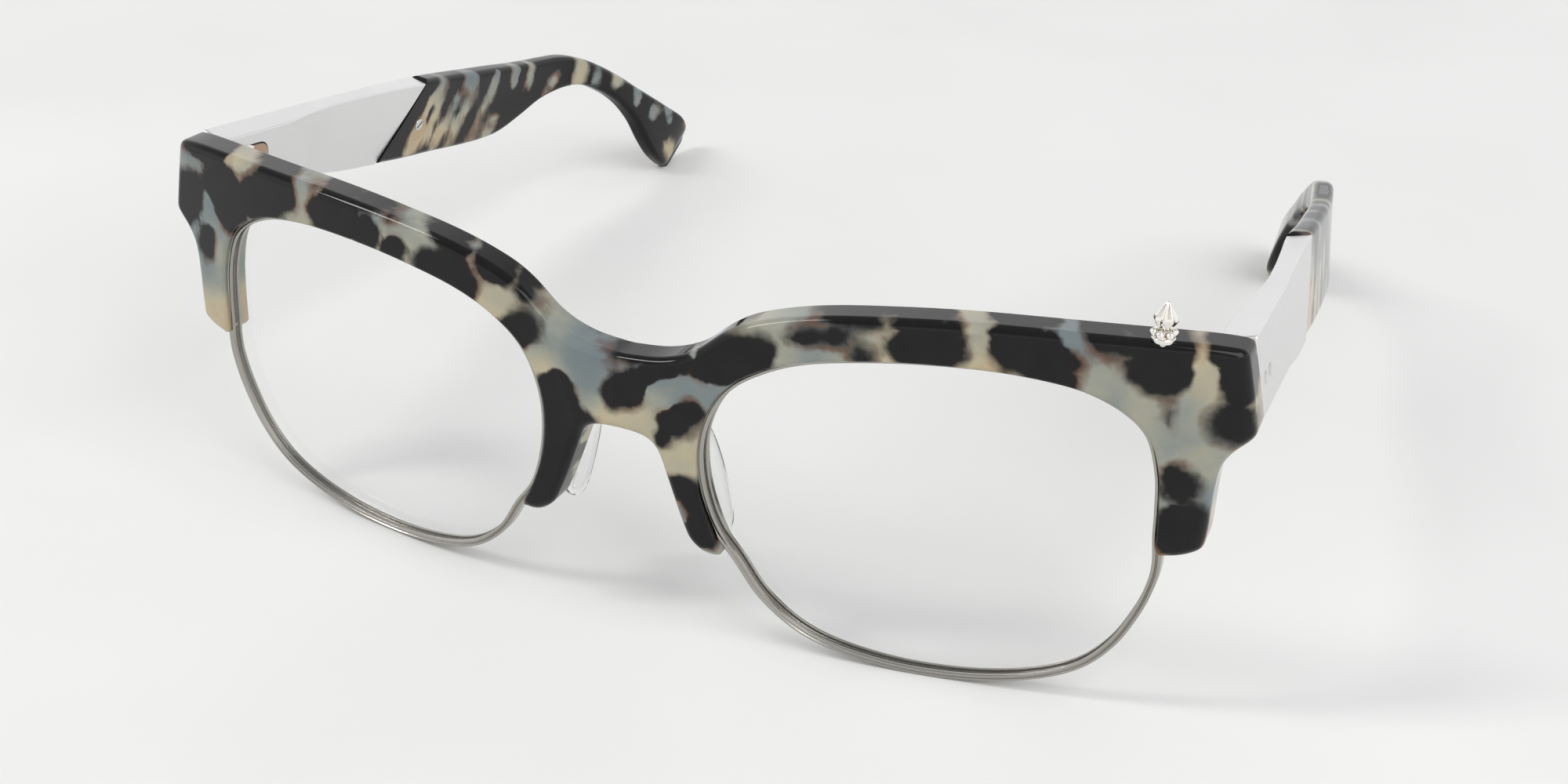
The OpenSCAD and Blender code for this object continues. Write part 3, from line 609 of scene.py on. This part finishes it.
def dome(x, z, off=0.0):
    """y of the lens surface's middle, moved back by off"""
    rho = MAJOR + np.sqrt((MINOR - off) ** 2 - (z - DOME_Z) ** 2)
    return WRAP - np.sqrt(rho ** 2 - x ** 2)


wire = ring_spline(wire_edge, 10) * K
wire = resample(wire, 0.42)
if area(wire) < 0:
    wire = wire[::-1]
wire_in = inward(wire)


def fillet(poly, r, seg=3):
    out = []
    m = len(poly)
    for i in range(m):
        a, b, c = np.array(poly[i - 1]), np.array(poly[i]), np.array(poly[(i + 1) % m])
        u, v = a - b, c - b
        lu, lv = np.linalg.norm(u), np.linalg.norm(v)
        u, v = u / lu, v / lv
        ang = math.acos(max(-1, min(1, float(u @ v))))
        t = min(r / math.tan(ang / 2), 0.45 * lu, 0.45 * lv)
        p, q = b + u * t, b + v * t
        for s in range(seg + 1):
            k = s / seg
            out.append((1 - k) ** 2 * p + 2 * k * (1 - k) * b + k * k * q)
    return np.array(out)


# eyewire section: inset from the outer edge, depth about the dome
wire_section = fillet([(0.02, -0.80), (0.02, 0.80), (0.14, 0.93), (0.90, 0.93), (0.99, 0.84), (0.99, 0.44),
                       (0.55, 0.40), (0.55, -0.40), (0.99, -0.44), (0.99, -0.84), (0.90, -0.93), (0.66, -0.93),
                       (0.50, -0.70), (0.34, -0.93), (0.12, -0.93)], 0.07)


def eyewire(side):
    n, m = len(wire), len(wire_section)
    P = np.zeros((n, m, 3))
    for j, (ins, dep) in enumerate(wire_section):
        q = wire + wire_in * ins
        P[:, j] = np.column_stack([q[:, 0], dome(q[:, 0], q[:, 1], 0.0) + dep, q[:, 1]])
    P[..., 0] *= side
    P = stand(P)
    P[..., 2] = np.maximum(P[..., 2], 0.00002)
    faces = []
    for i in range(n):
        for j in range(m):
            f = (i * m + j, i * m + (j + 1) % m, ((i + 1) % n) * m + (j + 1) % m, ((i + 1) % n) * m + j)
            faces.append(f if side < 0 else f[::-1])
    ob = obj_from("eyewire_ring_" + ("right" if side > 0 else "left"), P.reshape(-1, 3), faces, None, [RIM])
    return ob


def prism(name, corners, mat, bevel=0.00012):
    """small bevelled block from 8 corners (metres)"""
    me = bpy.data.meshes.new(name)
    me.from_pydata([tuple(c) for c in corners], [], [(0, 1, 2, 3), (7, 6, 5, 4), (0, 4, 5, 1), (1, 5, 6, 2), (2, 6, 7, 3), (3, 7, 4, 0)])
    bm = bmesh.new()
    bm.from_mesh(me)
    bmesh.ops.recalc_face_normals(bm, faces=bm.faces[:])
    bmesh.ops.bevel(bm, geom=bm.edges[:], offset=bevel, segments=3, affect="EDGES", profile=0.6)
    bm.to_mesh(me)
    bm.free()
    me.polygons.foreach_set("use_smooth", [True] * len(me.polygons))
    me.materials.append(mat)
    ob = bpy.data.objects.new(name, me)
    bpy.context.scene.collection.objects.link(ob)
    wn = ob.modifiers.new("wn", "WEIGHTED_NORMAL")
    return ob


def block(name, x0, x1, y0, y1, z0, z1, side, mat, bevel=0.00012):
    c = np.array([(x0, y0, z0), (x1, y0, z0), (x1, y1, z0), (x0, y1, z0), (x0, y0, z1), (x1, y0, z1), (x1, y1, z1), (x0, y1, z1)], float)
    c[:, 0] *= side
    return prism(name, stand(c), mat, bevel)


def join(target, others):
    bpy.ops.object.select_all(action="DESELECT")
    for o in others:
        for md in list(o.modifiers):
            o.modifiers.remove(md)
        o.select_set(True)
    target.select_set(True)
    bpy.context.view_layer.objects.active = target
    bpy.ops.object.join()


for side, nm in ((-1, "left"), (1, "right")):
    w = eyewire(side)
    up = block("lock_up_" + nm, 64.0 * K + 1.1, 64.0 * K + 3.0, 10.6 * K, 13.5, -24.1 * K + 0.18, -26.4 * K + 4.55, side, RIM)
    dn = block("lock_dn_" + nm, 64.0 * K + 1.1, 64.0 * K + 3.0, 10.6 * K, 13.5, -26.4 * K + 0.02, -24.1 * K - 0.02, side, RIM)
    for o in (up, dn):
        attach(o, "front")
    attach(w, "front")
    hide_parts("eyewire_" + nm)

# ------------------------------------------------------------------ lenses
def lens(side):
    edge = wire + wire_in * 0.62
    ctr = np.array([37.6, -27.5]) * K
    rings = 22
    pts, faces, nors = [], [], []
    n = len(edge)
    for layer, off in ((0, -0.75), (1, 0.75)):
        base = len(pts)
        pts.append(ctr)
        for r in range(1, rings + 1):
            s = math.sin(math.pi / 2 * r / rings)
            pts.extend(ctr + (edge - ctr) * s)
        q = np.array(pts[base:])
        y = dome(q[:, 0], q[:, 1], 0.0) + off
        h = 0.05
        gx = (dome(q[:, 0] + h, q[:, 1]) - dome(q[:, 0] - h, q[:, 1])) / (2 * h)
        gz = (dome(q[:, 0], q[:, 1] + h) - dome(q[:, 0], q[:, 1] - h)) / (2 * h)
        nn = np.column_stack([gx, -np.ones(len(q)), gz]) * (1 if layer == 0 else -1)
        nors.append((np.column_stack([q[:, 0], y, q[:, 1]]), nn))
        def idx(r, i):
            return base if r == 0 else base + 1 + (r - 1) * n + i % n
        for i in range(n):
            f = (idx(0, 0), idx(1, i), idx(1, i + 1))
            faces.append(f if layer == 0 else f[::-1])
            for r in range(1, rings):
                f = (idx(r, i), idx(r + 1, i), idx(r + 1, i + 1), idx(r, i + 1))
                faces.append(f if layer == 0 else f[::-1])
        pts = pts[:base] + [tuple(v) for v in q]
    a0 = 1 + (rings - 1) * n
    b0 = a0 + 1 + rings * n
    for i in range(n):
        faces.append((a0 + (i + 1) % n, a0 + i, b0 + i, b0 + (i + 1) % n))
    P = np.vstack([nors[0][0], nors[1][0]])
    M = np.vstack([nors[0][1], nors[1][1]])
    P[:, 0] *= side
    M[:, 0] *= side
    if side < 0:
        faces = [f[::-1] for f in faces]
    M = np.array([stand_dir(v) for v in M])
    M /= np.linalg.norm(M, axis=1)[:, None]
    return obj_from("lens_dome_" + ("right" if side > 0 else "left"), stand(P), [f[::-1] for f in faces], None, [LENS])


for side, nm in ((-1, "left"), (1, "right")):
    o = lens(side)
    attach(o, "front"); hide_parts("lens_" + nm)

# ------------------------------------------------------------------ nose pads
pad_line = [(5.0, -18.2), (7.0, -19.4), (8.7, -21.8), (10.1, -24.7), (10.9, -27.9), (11.2, -31), (11.2, -34.5),
            (10.6, -37.2), (8.8, -38.0), (6.8, -36.9), (5.0, -34.6)]
pl = np.vstack([open_spline(pad_line, 12, True), np.column_stack([np.full(20, 5.0), np.linspace(-34.4, -18.4, 20)])]) * K
pl = resample(pl, 0.1)
pl = smooth_ring(pl, 0.1, 0.35)
pl = resample(pl, 0.35)
if area(pl) < 0:
    pl = pl[::-1]


def pad_map(side):
    def fn(V):
        # u is y, v is z, w across
        y, w, z = V[:, 0], V[:, 1], V[:, 2]
        a = math.radians(13)
        lx = w - 0.9
        dz = z + 27 * K
        x = 8.3 * K + lx * math.cos(a) - dz * math.sin(a)
        zz = -27 * K + lx * math.sin(a) + dz * math.cos(a)
        return stand(np.column_stack([side * x, y, zz]))
    return fn


V, N, F = plate(pl, 0.82, 1.8, 1.0, (), 6, 1)
for side, nm in ((-1, "left"), (1, "right")):
    o = make_plate("nose_pad_ear_" + nm, V, N, F, pad_map(side), PAD)
    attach(o, "front"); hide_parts("nose_pad_" + nm)

# ------------------------------------------------------------------ temples: metal section
def temple_outer(d):
    return np.interp(d, np.array([-2, 6, 20, 35, 47, 50.5]) * K, np.array([0, 0, -0.1, -0.5, -0.8, -0.9]) * K)


_in_d = np.array([-2, 9, 12, 14.5, 17, 20.5, 24, 27, 34, 40, 47, 50.5, 53]) * K
_in_v = np.array([-4.2, -4.2, -4.2, -4.1, -3.75, -3.3, -3.05, -3.0, -3.25, -3.6, -4.1, -4.2, -4.2]) * K
_dd = np.linspace(-2 * K, 53 * K, 400)
_vv = np.interp(_dd, _in_d, _in_v)
_ker = np.exp(-0.5 * (np.arange(-20, 21) / 7.0) ** 2); _ker /= _ker.sum()
_vs = np.convolve(np.pad(_vv, 20, mode="edge"), _ker, mode="valid")


def temple_inner(d):
    return np.interp(d, _dd, _vs)


def front_end(u, v, side):
    """d of the temple's front end, 0.25 mm behind the acetate, at local lateral u and height v"""
    p = temple_point(leaned(np.array([[u, 0.0, v]])), 1)[0]
    y = WRAP - math.sqrt((WRAP - THICK - 0.25) ** 2 - p[0] ** 2)
    return (y - p[1]) / math.cos(DROP)


ms = [(0.0, 0.0), (20, 0.0), (40, 0.0), (49.5, -0.15), (39.5, -12.1), (32, -11.7), (26, -11.0), (20, -10.4), (0.0, -10.3)]
side_line = np.array(ms) * K
side_line = np.vstack([side_line[:4], np.linspace(side_line[3], side_line[4], 4)[1:-1],
                       open_spline(side_line[4:], 6, True)])
side_line = resample(side_line, 0.1)
side_line = smooth_ring(side_line, 0.1, 0.22)
side_line = resample(side_line, 0.3)
if area(side_line) < 0:
    side_line = side_line[::-1]
T0 = 4.0
fe = {}


_p0 = K * np.array([-0.85, 49.5, -0.1])
_q0 = K * np.array([-0.85 + 0.2 * 12.0, 39.5, -12.1])
_v0 = (_q0 - _p0) / np.linalg.norm(_q0 - _p0)
_n0 = np.array([-1.0, 0, 0]) + _v0[0] * _v0
_n0 /= np.linalg.norm(_n0)
_w0 = np.cross(_v0, _n0)


def metal_map(side):
    # the front end follows the acetate's back face: shift d near the end
    def fn(V):
        d, w, v = V[:, 0], V[:, 1], V[:, 2]
        t = w / T0
        u = temple_outer(d) * (1 - t) + temple_inner(d) * t
        # where the end has to be at this u, v
        x = CORNER[0] + u * math.cos(LEAN) - v * math.sin(LEAN)
        y0 = CORNER[1]
        yend = WRAP - np.sqrt((WRAP - THICK - 0.25) ** 2 - x ** 2)
        zz = (u * math.sin(LEAN) + v * math.cos(LEAN))
        dend = (yend - y0 - zz * math.sin(DROP)) / math.cos(DROP)
        k = np.clip(1 - d / 9.0, 0, 1.3)
        lx, lz = x - CORNER[0], zz
        nominal = K * 39.5 + (v + K * 12.1) * (10.0 / 11.95)
        wanted = _p0[1] + (-0.05 - (lx - _p0[0]) * _w0[0] - (lz - _p0[2]) * _w0[2]) / _w0[1]
        k2 = np.clip((d - nominal + 8.0) / 8.0, 0, 1.05)
        return stand(temple_point(leaned(np.column_stack([u, d + dend * k + (wanted - nominal) * k2, v])), side))
    return fn


VM, NM, FM = plate(side_line, 0.26, T0, 0.8, (), 4, 3)
for side, nm in ((-1, "left"), (1, "right")):
    o = make_plate("temple_metal_shell_" + nm, VM, NM, FM, metal_map(side), TEMPLE)
    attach(o, "temple_" + nm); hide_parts("temple_metal_" + nm)

# bronze leaf, let into the inner face, with a near-black sheet round it as painted shade of the gap it sits in
def leaf_outline(c):
    z0, z1, e, r, a0 = -1.8 + c, -10.0 - c, 9.6 + c, 2.2, -0.6 - c
    p = [(a0, z1), (a0, z0)] + [(e - r + r * math.cos(a), z0 - r + r * math.sin(a)) for a in np.radians(np.arange(90, -1, -10))] \
        + [(e - r + r * math.cos(a), z1 + r + r * math.sin(a)) for a in np.radians(np.arange(0, -91, -10))]
    q = resample(np.array(p), 0.25)
    return q if area(q) > 0 else q[::-1]


def leaf_map(side, base, flip=1.0):
    def fn(V):
        d, w, v = V[:, 0], V[:, 1], V[:, 2]
        u = -4.2 * K - base + w * 1.0
        u = np.broadcast_to(u, d.shape)
        x = CORNER[0] + u * math.cos(LEAN) - v * math.sin(LEAN)
        yend = WRAP - np.sqrt((WRAP - THICK - 0.3) ** 2 - x ** 2)
        zz = (u * math.sin(LEAN) + v * math.cos(LEAN))
        dend = (yend - CORNER[1] - zz * math.sin(DROP)) / math.cos(DROP)
        k = np.clip(1 - (d + 0.6) / 6.0, 0, 1.3)
        return stand(temple_point(leaned(np.column_stack([u, d + (dend + 0.75) * k, v])), side))
    return fn


for side, nm in ((-1, "left"), (1, "right")):
    # painted shade: a slightly larger near-black sheet standing for the gap's shadow round the leaf
    V, N, F = plate(leaf_outline(0.16), 0.01, 0.2, 1.0, (), 1, 1)
    o = make_plate("hinge_leaf_gap_shade_" + nm, V, N, F, leaf_map(side, 0.012), PAINTED_GAP_SHADE)
    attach(o, "temple_" + nm)
    V, N, F = plate(leaf_outline(0.0), 0.09, 0.5, 1.0, (), 4, 1)
    o = make_plate("hinge_leaf_plate_" + nm, V, N, F, leaf_map(side, 0.07), BRONZE)
    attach(o, "temple_" + nm)

# ------------------------------------------------------------------ temples: acetate section
def blade_solid(side, mat, name):
    B = open_spline(blade, 8, True)
    rows = []
    seg = 7

    def section(b, shrink=0.0):
        p = K * np.array([b[4], b[0], b[1]])
        q = K * np.array([b[4] + b[6] * (b[1] - b[3]), b[2], b[3]])
        v = (q - p) / np.linalg.norm(q - p)
        x = np.array([-1.0, 0, 0])
        n = x - (x @ v) * v
        n /= np.linalg.norm(n)
        h, t = np.linalg.norm(q - p), b[5] * K
        r = min(1.0, 0.44 * t)
        pts = []
        for (cu, cv, a0) in ((r, r, 180), (t - r, r, 90), (t - r, h - r, 0), (r, h - r, -90)):
            for s in range(seg + 1):
                a = math.radians(a0 - 90 * s / seg)
                pts.append((cu + r * math.cos(a), cv - r * math.sin(a)))
        # extra points along the flats
        full = []
        m = len(pts)
        for i in range(m):
            a, c = np.array(pts[i]), np.array(pts[(i + 1) % m])
            full.append(a)
            L = np.linalg.norm(c - a)
            if L > 1.5:
                for s in (1, 2, 3):
                    full.append(a + (c - a) * s / 4)
        while len(full) < 4 * (seg + 1) + 6:
            i = int(np.argmax([np.linalg.norm(np.array(full[(k + 1) % len(full)]) - full[k]) for k in range(len(full))]))
            full.insert(i + 1, (np.array(full[i]) + np.array(full[(i + 1) % len(full)])) / 2)
        full = np.array(full[: 4 * (seg + 1) + 6])
        cen = np.array([t / 2, h / 2])
        full = cen + (full - cen) * (1 - shrink)
        return p + full[:, :1] * n + full[:, 1:] * v, v
    secs = [section(b)[0] for b in B]
    # rounded end
    last, lv = section(B[-1])
    cen = last.mean(0)
    along = K * np.array([-0.15, 0.15, -1.1])
    for a in (18, 36, 54, 70, 82):
        s, c = math.sin(math.radians(a)), math.cos(math.radians(a))
        secs.append(cen + (last - cen) * (c ** 0.75) + along * s)
    P = np.array(secs)
    n, m = P.shape[:2]
    flat = P.reshape(-1, 3) / K
    shift = 0.0 if side < 0 else 3.0
    fx, fz = flat[:, 1] + 0.35 * flat[:, 0] + shift, flat[:, 2]
    blot = ellipse_field(fx, fz, TEMPLE_FLECKS) - 0.35
    tone = tone_field(fx, fz, [(f[0], f[1], f[5]) for f in TEMPLE_FLECKS], 1.8)
    V = temple_point(P.reshape(-1, 3), side)
    V = stand(V)
    V[:, 2] = np.maximum(V[:, 2], 0.00002)
    faces = []
    for i in range(n - 1):
        for j in range(m):
            f = (i * m + j, (i + 1) * m + j, (i + 1) * m + (j + 1) % m, i * m + (j + 1) % m)
            faces.append(f)
    faces.append(tuple(reversed(range(m))))
    faces.append(tuple((n - 1) * m + j for j in range(m)))
    ob = obj_from(name, V, faces, None, [mat])
    carry(ob, blot, tone)
    bm = bmesh.new()
    bm.from_mesh(ob.data)
    bmesh.ops.recalc_face_normals(bm, faces=bm.faces[:])
    for e in bm.edges:
        if len(e.link_faces) == 2 and e.calc_face_angle(0) > 1.0:
            e.smooth = False
    bm.to_mesh(ob.data)
    bm.free()
    return ob


for side, nm in ((-1, "left"), (1, "right")):
    o = blade_solid(side, ACETATE_T, "temple_tip_blade_" + nm)
    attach(o, "temple_" + nm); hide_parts("temple_tip_" + nm)

# screw heads on the inner face of the acetate, with a fine near-black ring round each and a near-black bar across each,
# painted shade of the seat and of the slot
def temple_disc(name, side, prof, mat, n=48):
    P = []
    for r, u in prof:
        for i in range(n):
            a = 2 * math.pi * i / n
            P.append((u, 48.5 * K + r * math.cos(a), -7.0 * K + r * math.sin(a)))
    m = len(prof)
    faces = [(i * n + j, i * n + (j + 1) % n, (i + 1) * n + (j + 1) % n, (i + 1) * n + j) for i in range(m - 1) for j in range(n)]
    faces.append(tuple(reversed(range(n))))
    faces.append(tuple((m - 1) * n + j for j in range(n)))
    if side > 0:
        faces = [f[::-1] for f in faces]
    return obj_from(name, stand(temple_point(leaned(np.array(P)), side)), faces, None, [mat])


for side, nm in ((-1, "left"), (1, "right")):
    # painted shade: near-black ring round the head for the shadow in its seat
    seat = temple_disc("tip_screw_seat_shade_" + nm, side, [(1.08, -3.9), (1.10, -4.12), (1.06, -4.15), (0.9, -4.15)], PAINTED_GAP_SHADE)
    head = temple_disc("tip_screw_head_" + nm, side, [(0.93, -3.9), (0.95, -4.16), (0.90, -4.23), (0.75, -4.27), (0.35, -4.29)], SCREW)
    mid = np.array([-4.27, 48.5 * K, -7.0 * K])
    ca, sa = math.cos(math.radians(35)), math.sin(math.radians(35))
    cs = []
    for u in (-4.1, -4.31):
        for e, f in ((-0.72, -0.1), (0.72, -0.1), (0.72, 0.1), (-0.72, 0.1)):
            cs.append((u, mid[1] + e * ca - f * sa, mid[2] + e * sa + f * ca))
    # painted shade: a near-black bar across the head for the shadow in its slot
    slot_ = prism("tip_screw_slot_shade_" + nm, stand(temple_point(leaned(np.array(cs)), side)), PAINTED_GAP_SHADE, 0.00002)
    for o in (seat, head, slot_):
        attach(o, "temple_" + nm)
    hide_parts("tip_screw_" + nm)

# ------------------------------------------------------------------ ornament
STUD_AT = np.array([62 * K, 8.4 * K, 0.25 * K])


def lathe(name, prof, mat, flutes=0, depth=0.0, n=64):
    """prof: (radius, z, flute share)"""
    P = []
    for r, z, fl in prof:
        for i in range(n):
            a = 2 * math.pi * i / n
            k = 1 - depth * fl * (abs(math.sin(a * flutes / 2)) if flutes else 0)
            P.append(STUD_AT + np.array([r * k * math.cos(a), r * k * math.sin(a), z]))
    m = len(prof)
    faces = [(i * n + j, i * n + (j + 1) % n, (i + 1) * n + (j + 1) % n, (i + 1) * n + j) for i in range(m - 1) for j in range(n)]
    faces.append(tuple(reversed(range(n))))
    faces.append(tuple((m - 1) * n + j for j in range(n)))
    return obj_from(name, stand(np.array(P)), faces, None, [mat])


spike = lathe("stud_spike_cone", [(0.3, 1.46, 0), (0.72, 1.47, 0), (0.80, 1.55, 0), (1.02, 1.95, .5), (1.30, 2.35, 1), (1.40, 2.52, 1), (1.38, 2.66, 1),
                             (1.22, 2.95, 1), (0.98, 3.35, 1), (0.72, 3.78, 1), (0.44, 4.20, .8), (0.22, 4.48, .3), (0.06, 4.60, 0)], STUD, 8, 0.22, 96)
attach(spike, "front"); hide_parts("stud_spike")


def bead_ring():
    bm = bmesh.new()
    for i in range(6):
        a = math.radians(60 * i + 20)
        c = STUD_AT + np.array([1.08 * math.cos(a), 1.08 * math.sin(a), 0.98])
        q = stand(c)
        bmesh.ops.create_icosphere(bm, subdivisions=4, radius=0.00047, matrix=Matrix.Translation(Vector(q)))
    me = bpy.data.meshes.new("stud_bead_ring")
    bm.to_mesh(me)
    bm.free()
    me.polygons.foreach_set("use_smooth", [True] * len(me.polygons))
    me.materials.append(STUD)
    ob = bpy.data.objects.new("stud_bead_ring", me)
    bpy.context.scene.collection.objects.link(ob)
    return ob


beads = bead_ring()
base = lathe("stud_base_disc", [(0.5, 0.02, 0), (1.25, 0.03, 0), (1.34, 0.10, 0), (1.35, 0.45, 0), (1.28, 0.60, 0), (1.0, 0.70, 0), (0.6, 0.72, 0)], STUD)
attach(beads, "front"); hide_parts("stud_beads")
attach(base, "front")

# ------------------------------------------------------------------ carried-over CAD nodes
for name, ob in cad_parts.items():
    mat = None
    if name.startswith("hinge_front_leaf") or name.startswith("hinge_anchor"):
        mat = HINGE
    elif name.startswith("hinge_temple_leaf"):
        mat = BRONZE
    elif name.startswith(("hinge_screw", "rim_", "tip_screw", "temple_rivets", "core_wire")):
        mat = SCREW
    elif name.startswith("stud_"):
        mat = STUD
    if mat:
        ob.data.materials.clear()
        ob.data.materials.append(mat)

# ------------------------------------------------------------------ floor, light, camera
def floor_material():
    m, nt, b = new_mat("pale_table")
    n = noise(nt, mapping(nt, (1, 1, 1)), 14.0, 3.0, 0.5)
    link(nt, ramp(nt, n.outputs["Fac"], [(0.3, (0.80, 0.80, 0.79)), (0.7, (0.84, 0.84, 0.83))]), b.inputs["Base Color"])
    b.inputs["Roughness"].default_value = 0.55
    b.inputs["Specular IOR Level"].default_value = 0.25
    return m


bpy.ops.mesh.primitive_plane_add(size=6, location=(0, 0, 0))
floor = bpy.context.object
floor.name = "table"
floor.data.materials.append(floor_material())

world = bpy.data.worlds.new("studio")
bpy.context.scene.world = world
world.use_nodes = True
wn = world.node_tree
bg = wn.nodes["Background"]
tc = nd(wn, "ShaderNodeTexCoord")
sx = nd(wn, "ShaderNodeSeparateXYZ")
link(wn, tc.outputs["Generated"], sx.inputs[0])
sky = ramp(wn, sx.outputs["Z"], [(0.0, (1.0, 1.0, 1.0)), (0.34, (1.0, 1.0, 1.0)), (0.62, (0.42, 0.425, 0.435)), (1.0, (0.5, 0.505, 0.515))])
link(wn, sky, bg.inputs["Color"])
bg.inputs["Strength"].default_value = 1.08


def area_light(name, loc, target, size, power, color=(1, 1, 1), size_y=None):
    d = bpy.data.lights.new(name, "AREA")
    d.shape = "RECTANGLE"
    d.size, d.size_y = size, size_y or size
    d.energy, d.color = power, color
    o = bpy.data.objects.new(name, d)
    bpy.context.scene.collection.objects.link(o)
    o.location = loc
    o.rotation_euler = (Vector(target) - Vector(loc)).to_track_quat("-Z", "Y").to_euler()
    return o


area_light("key", (-0.65, -0.37, 0.87), (0, 0, 0), 0.15, 3.4, (1.0, 0.985, 0.96), 0.5)
area_light("fill", (0.75, -0.35, 0.95), (0, 0, 0), 0.8, 6.0, (1, 1, 1), 0.8)

C = np.array([93.045, -175.029, 82.569]) * K
right = stand_dir((0.917990, 0.394819, 0.037575))
down = stand_dir((0.207103, -0.396411, -0.894409))
fwd = stand_dir((-0.338234, 0.828840, -0.445670))
cam_data = bpy.data.cameras.new("camera")
cam = bpy.data.objects.new("camera", cam_data)
bpy.context.scene.collection.objects.link(cam)
M = Matrix(((right[0], -down[0], -fwd[0], 0), (right[1], -down[1], -fwd[1], 0), (right[2], -down[2], -fwd[2], 0), (0, 0, 0, 1)))
cam.matrix_world = Matrix.Translation(Vector(stand(C))) @ M
cam_data.sensor_width = 36.0
cam_data.lens = 42.46
cam_data.clip_start = 0.005
cam_data.clip_end = 20
bpy.context.scene.camera = cam
bpy.context.scene.view_settings.view_transform = "Standard"
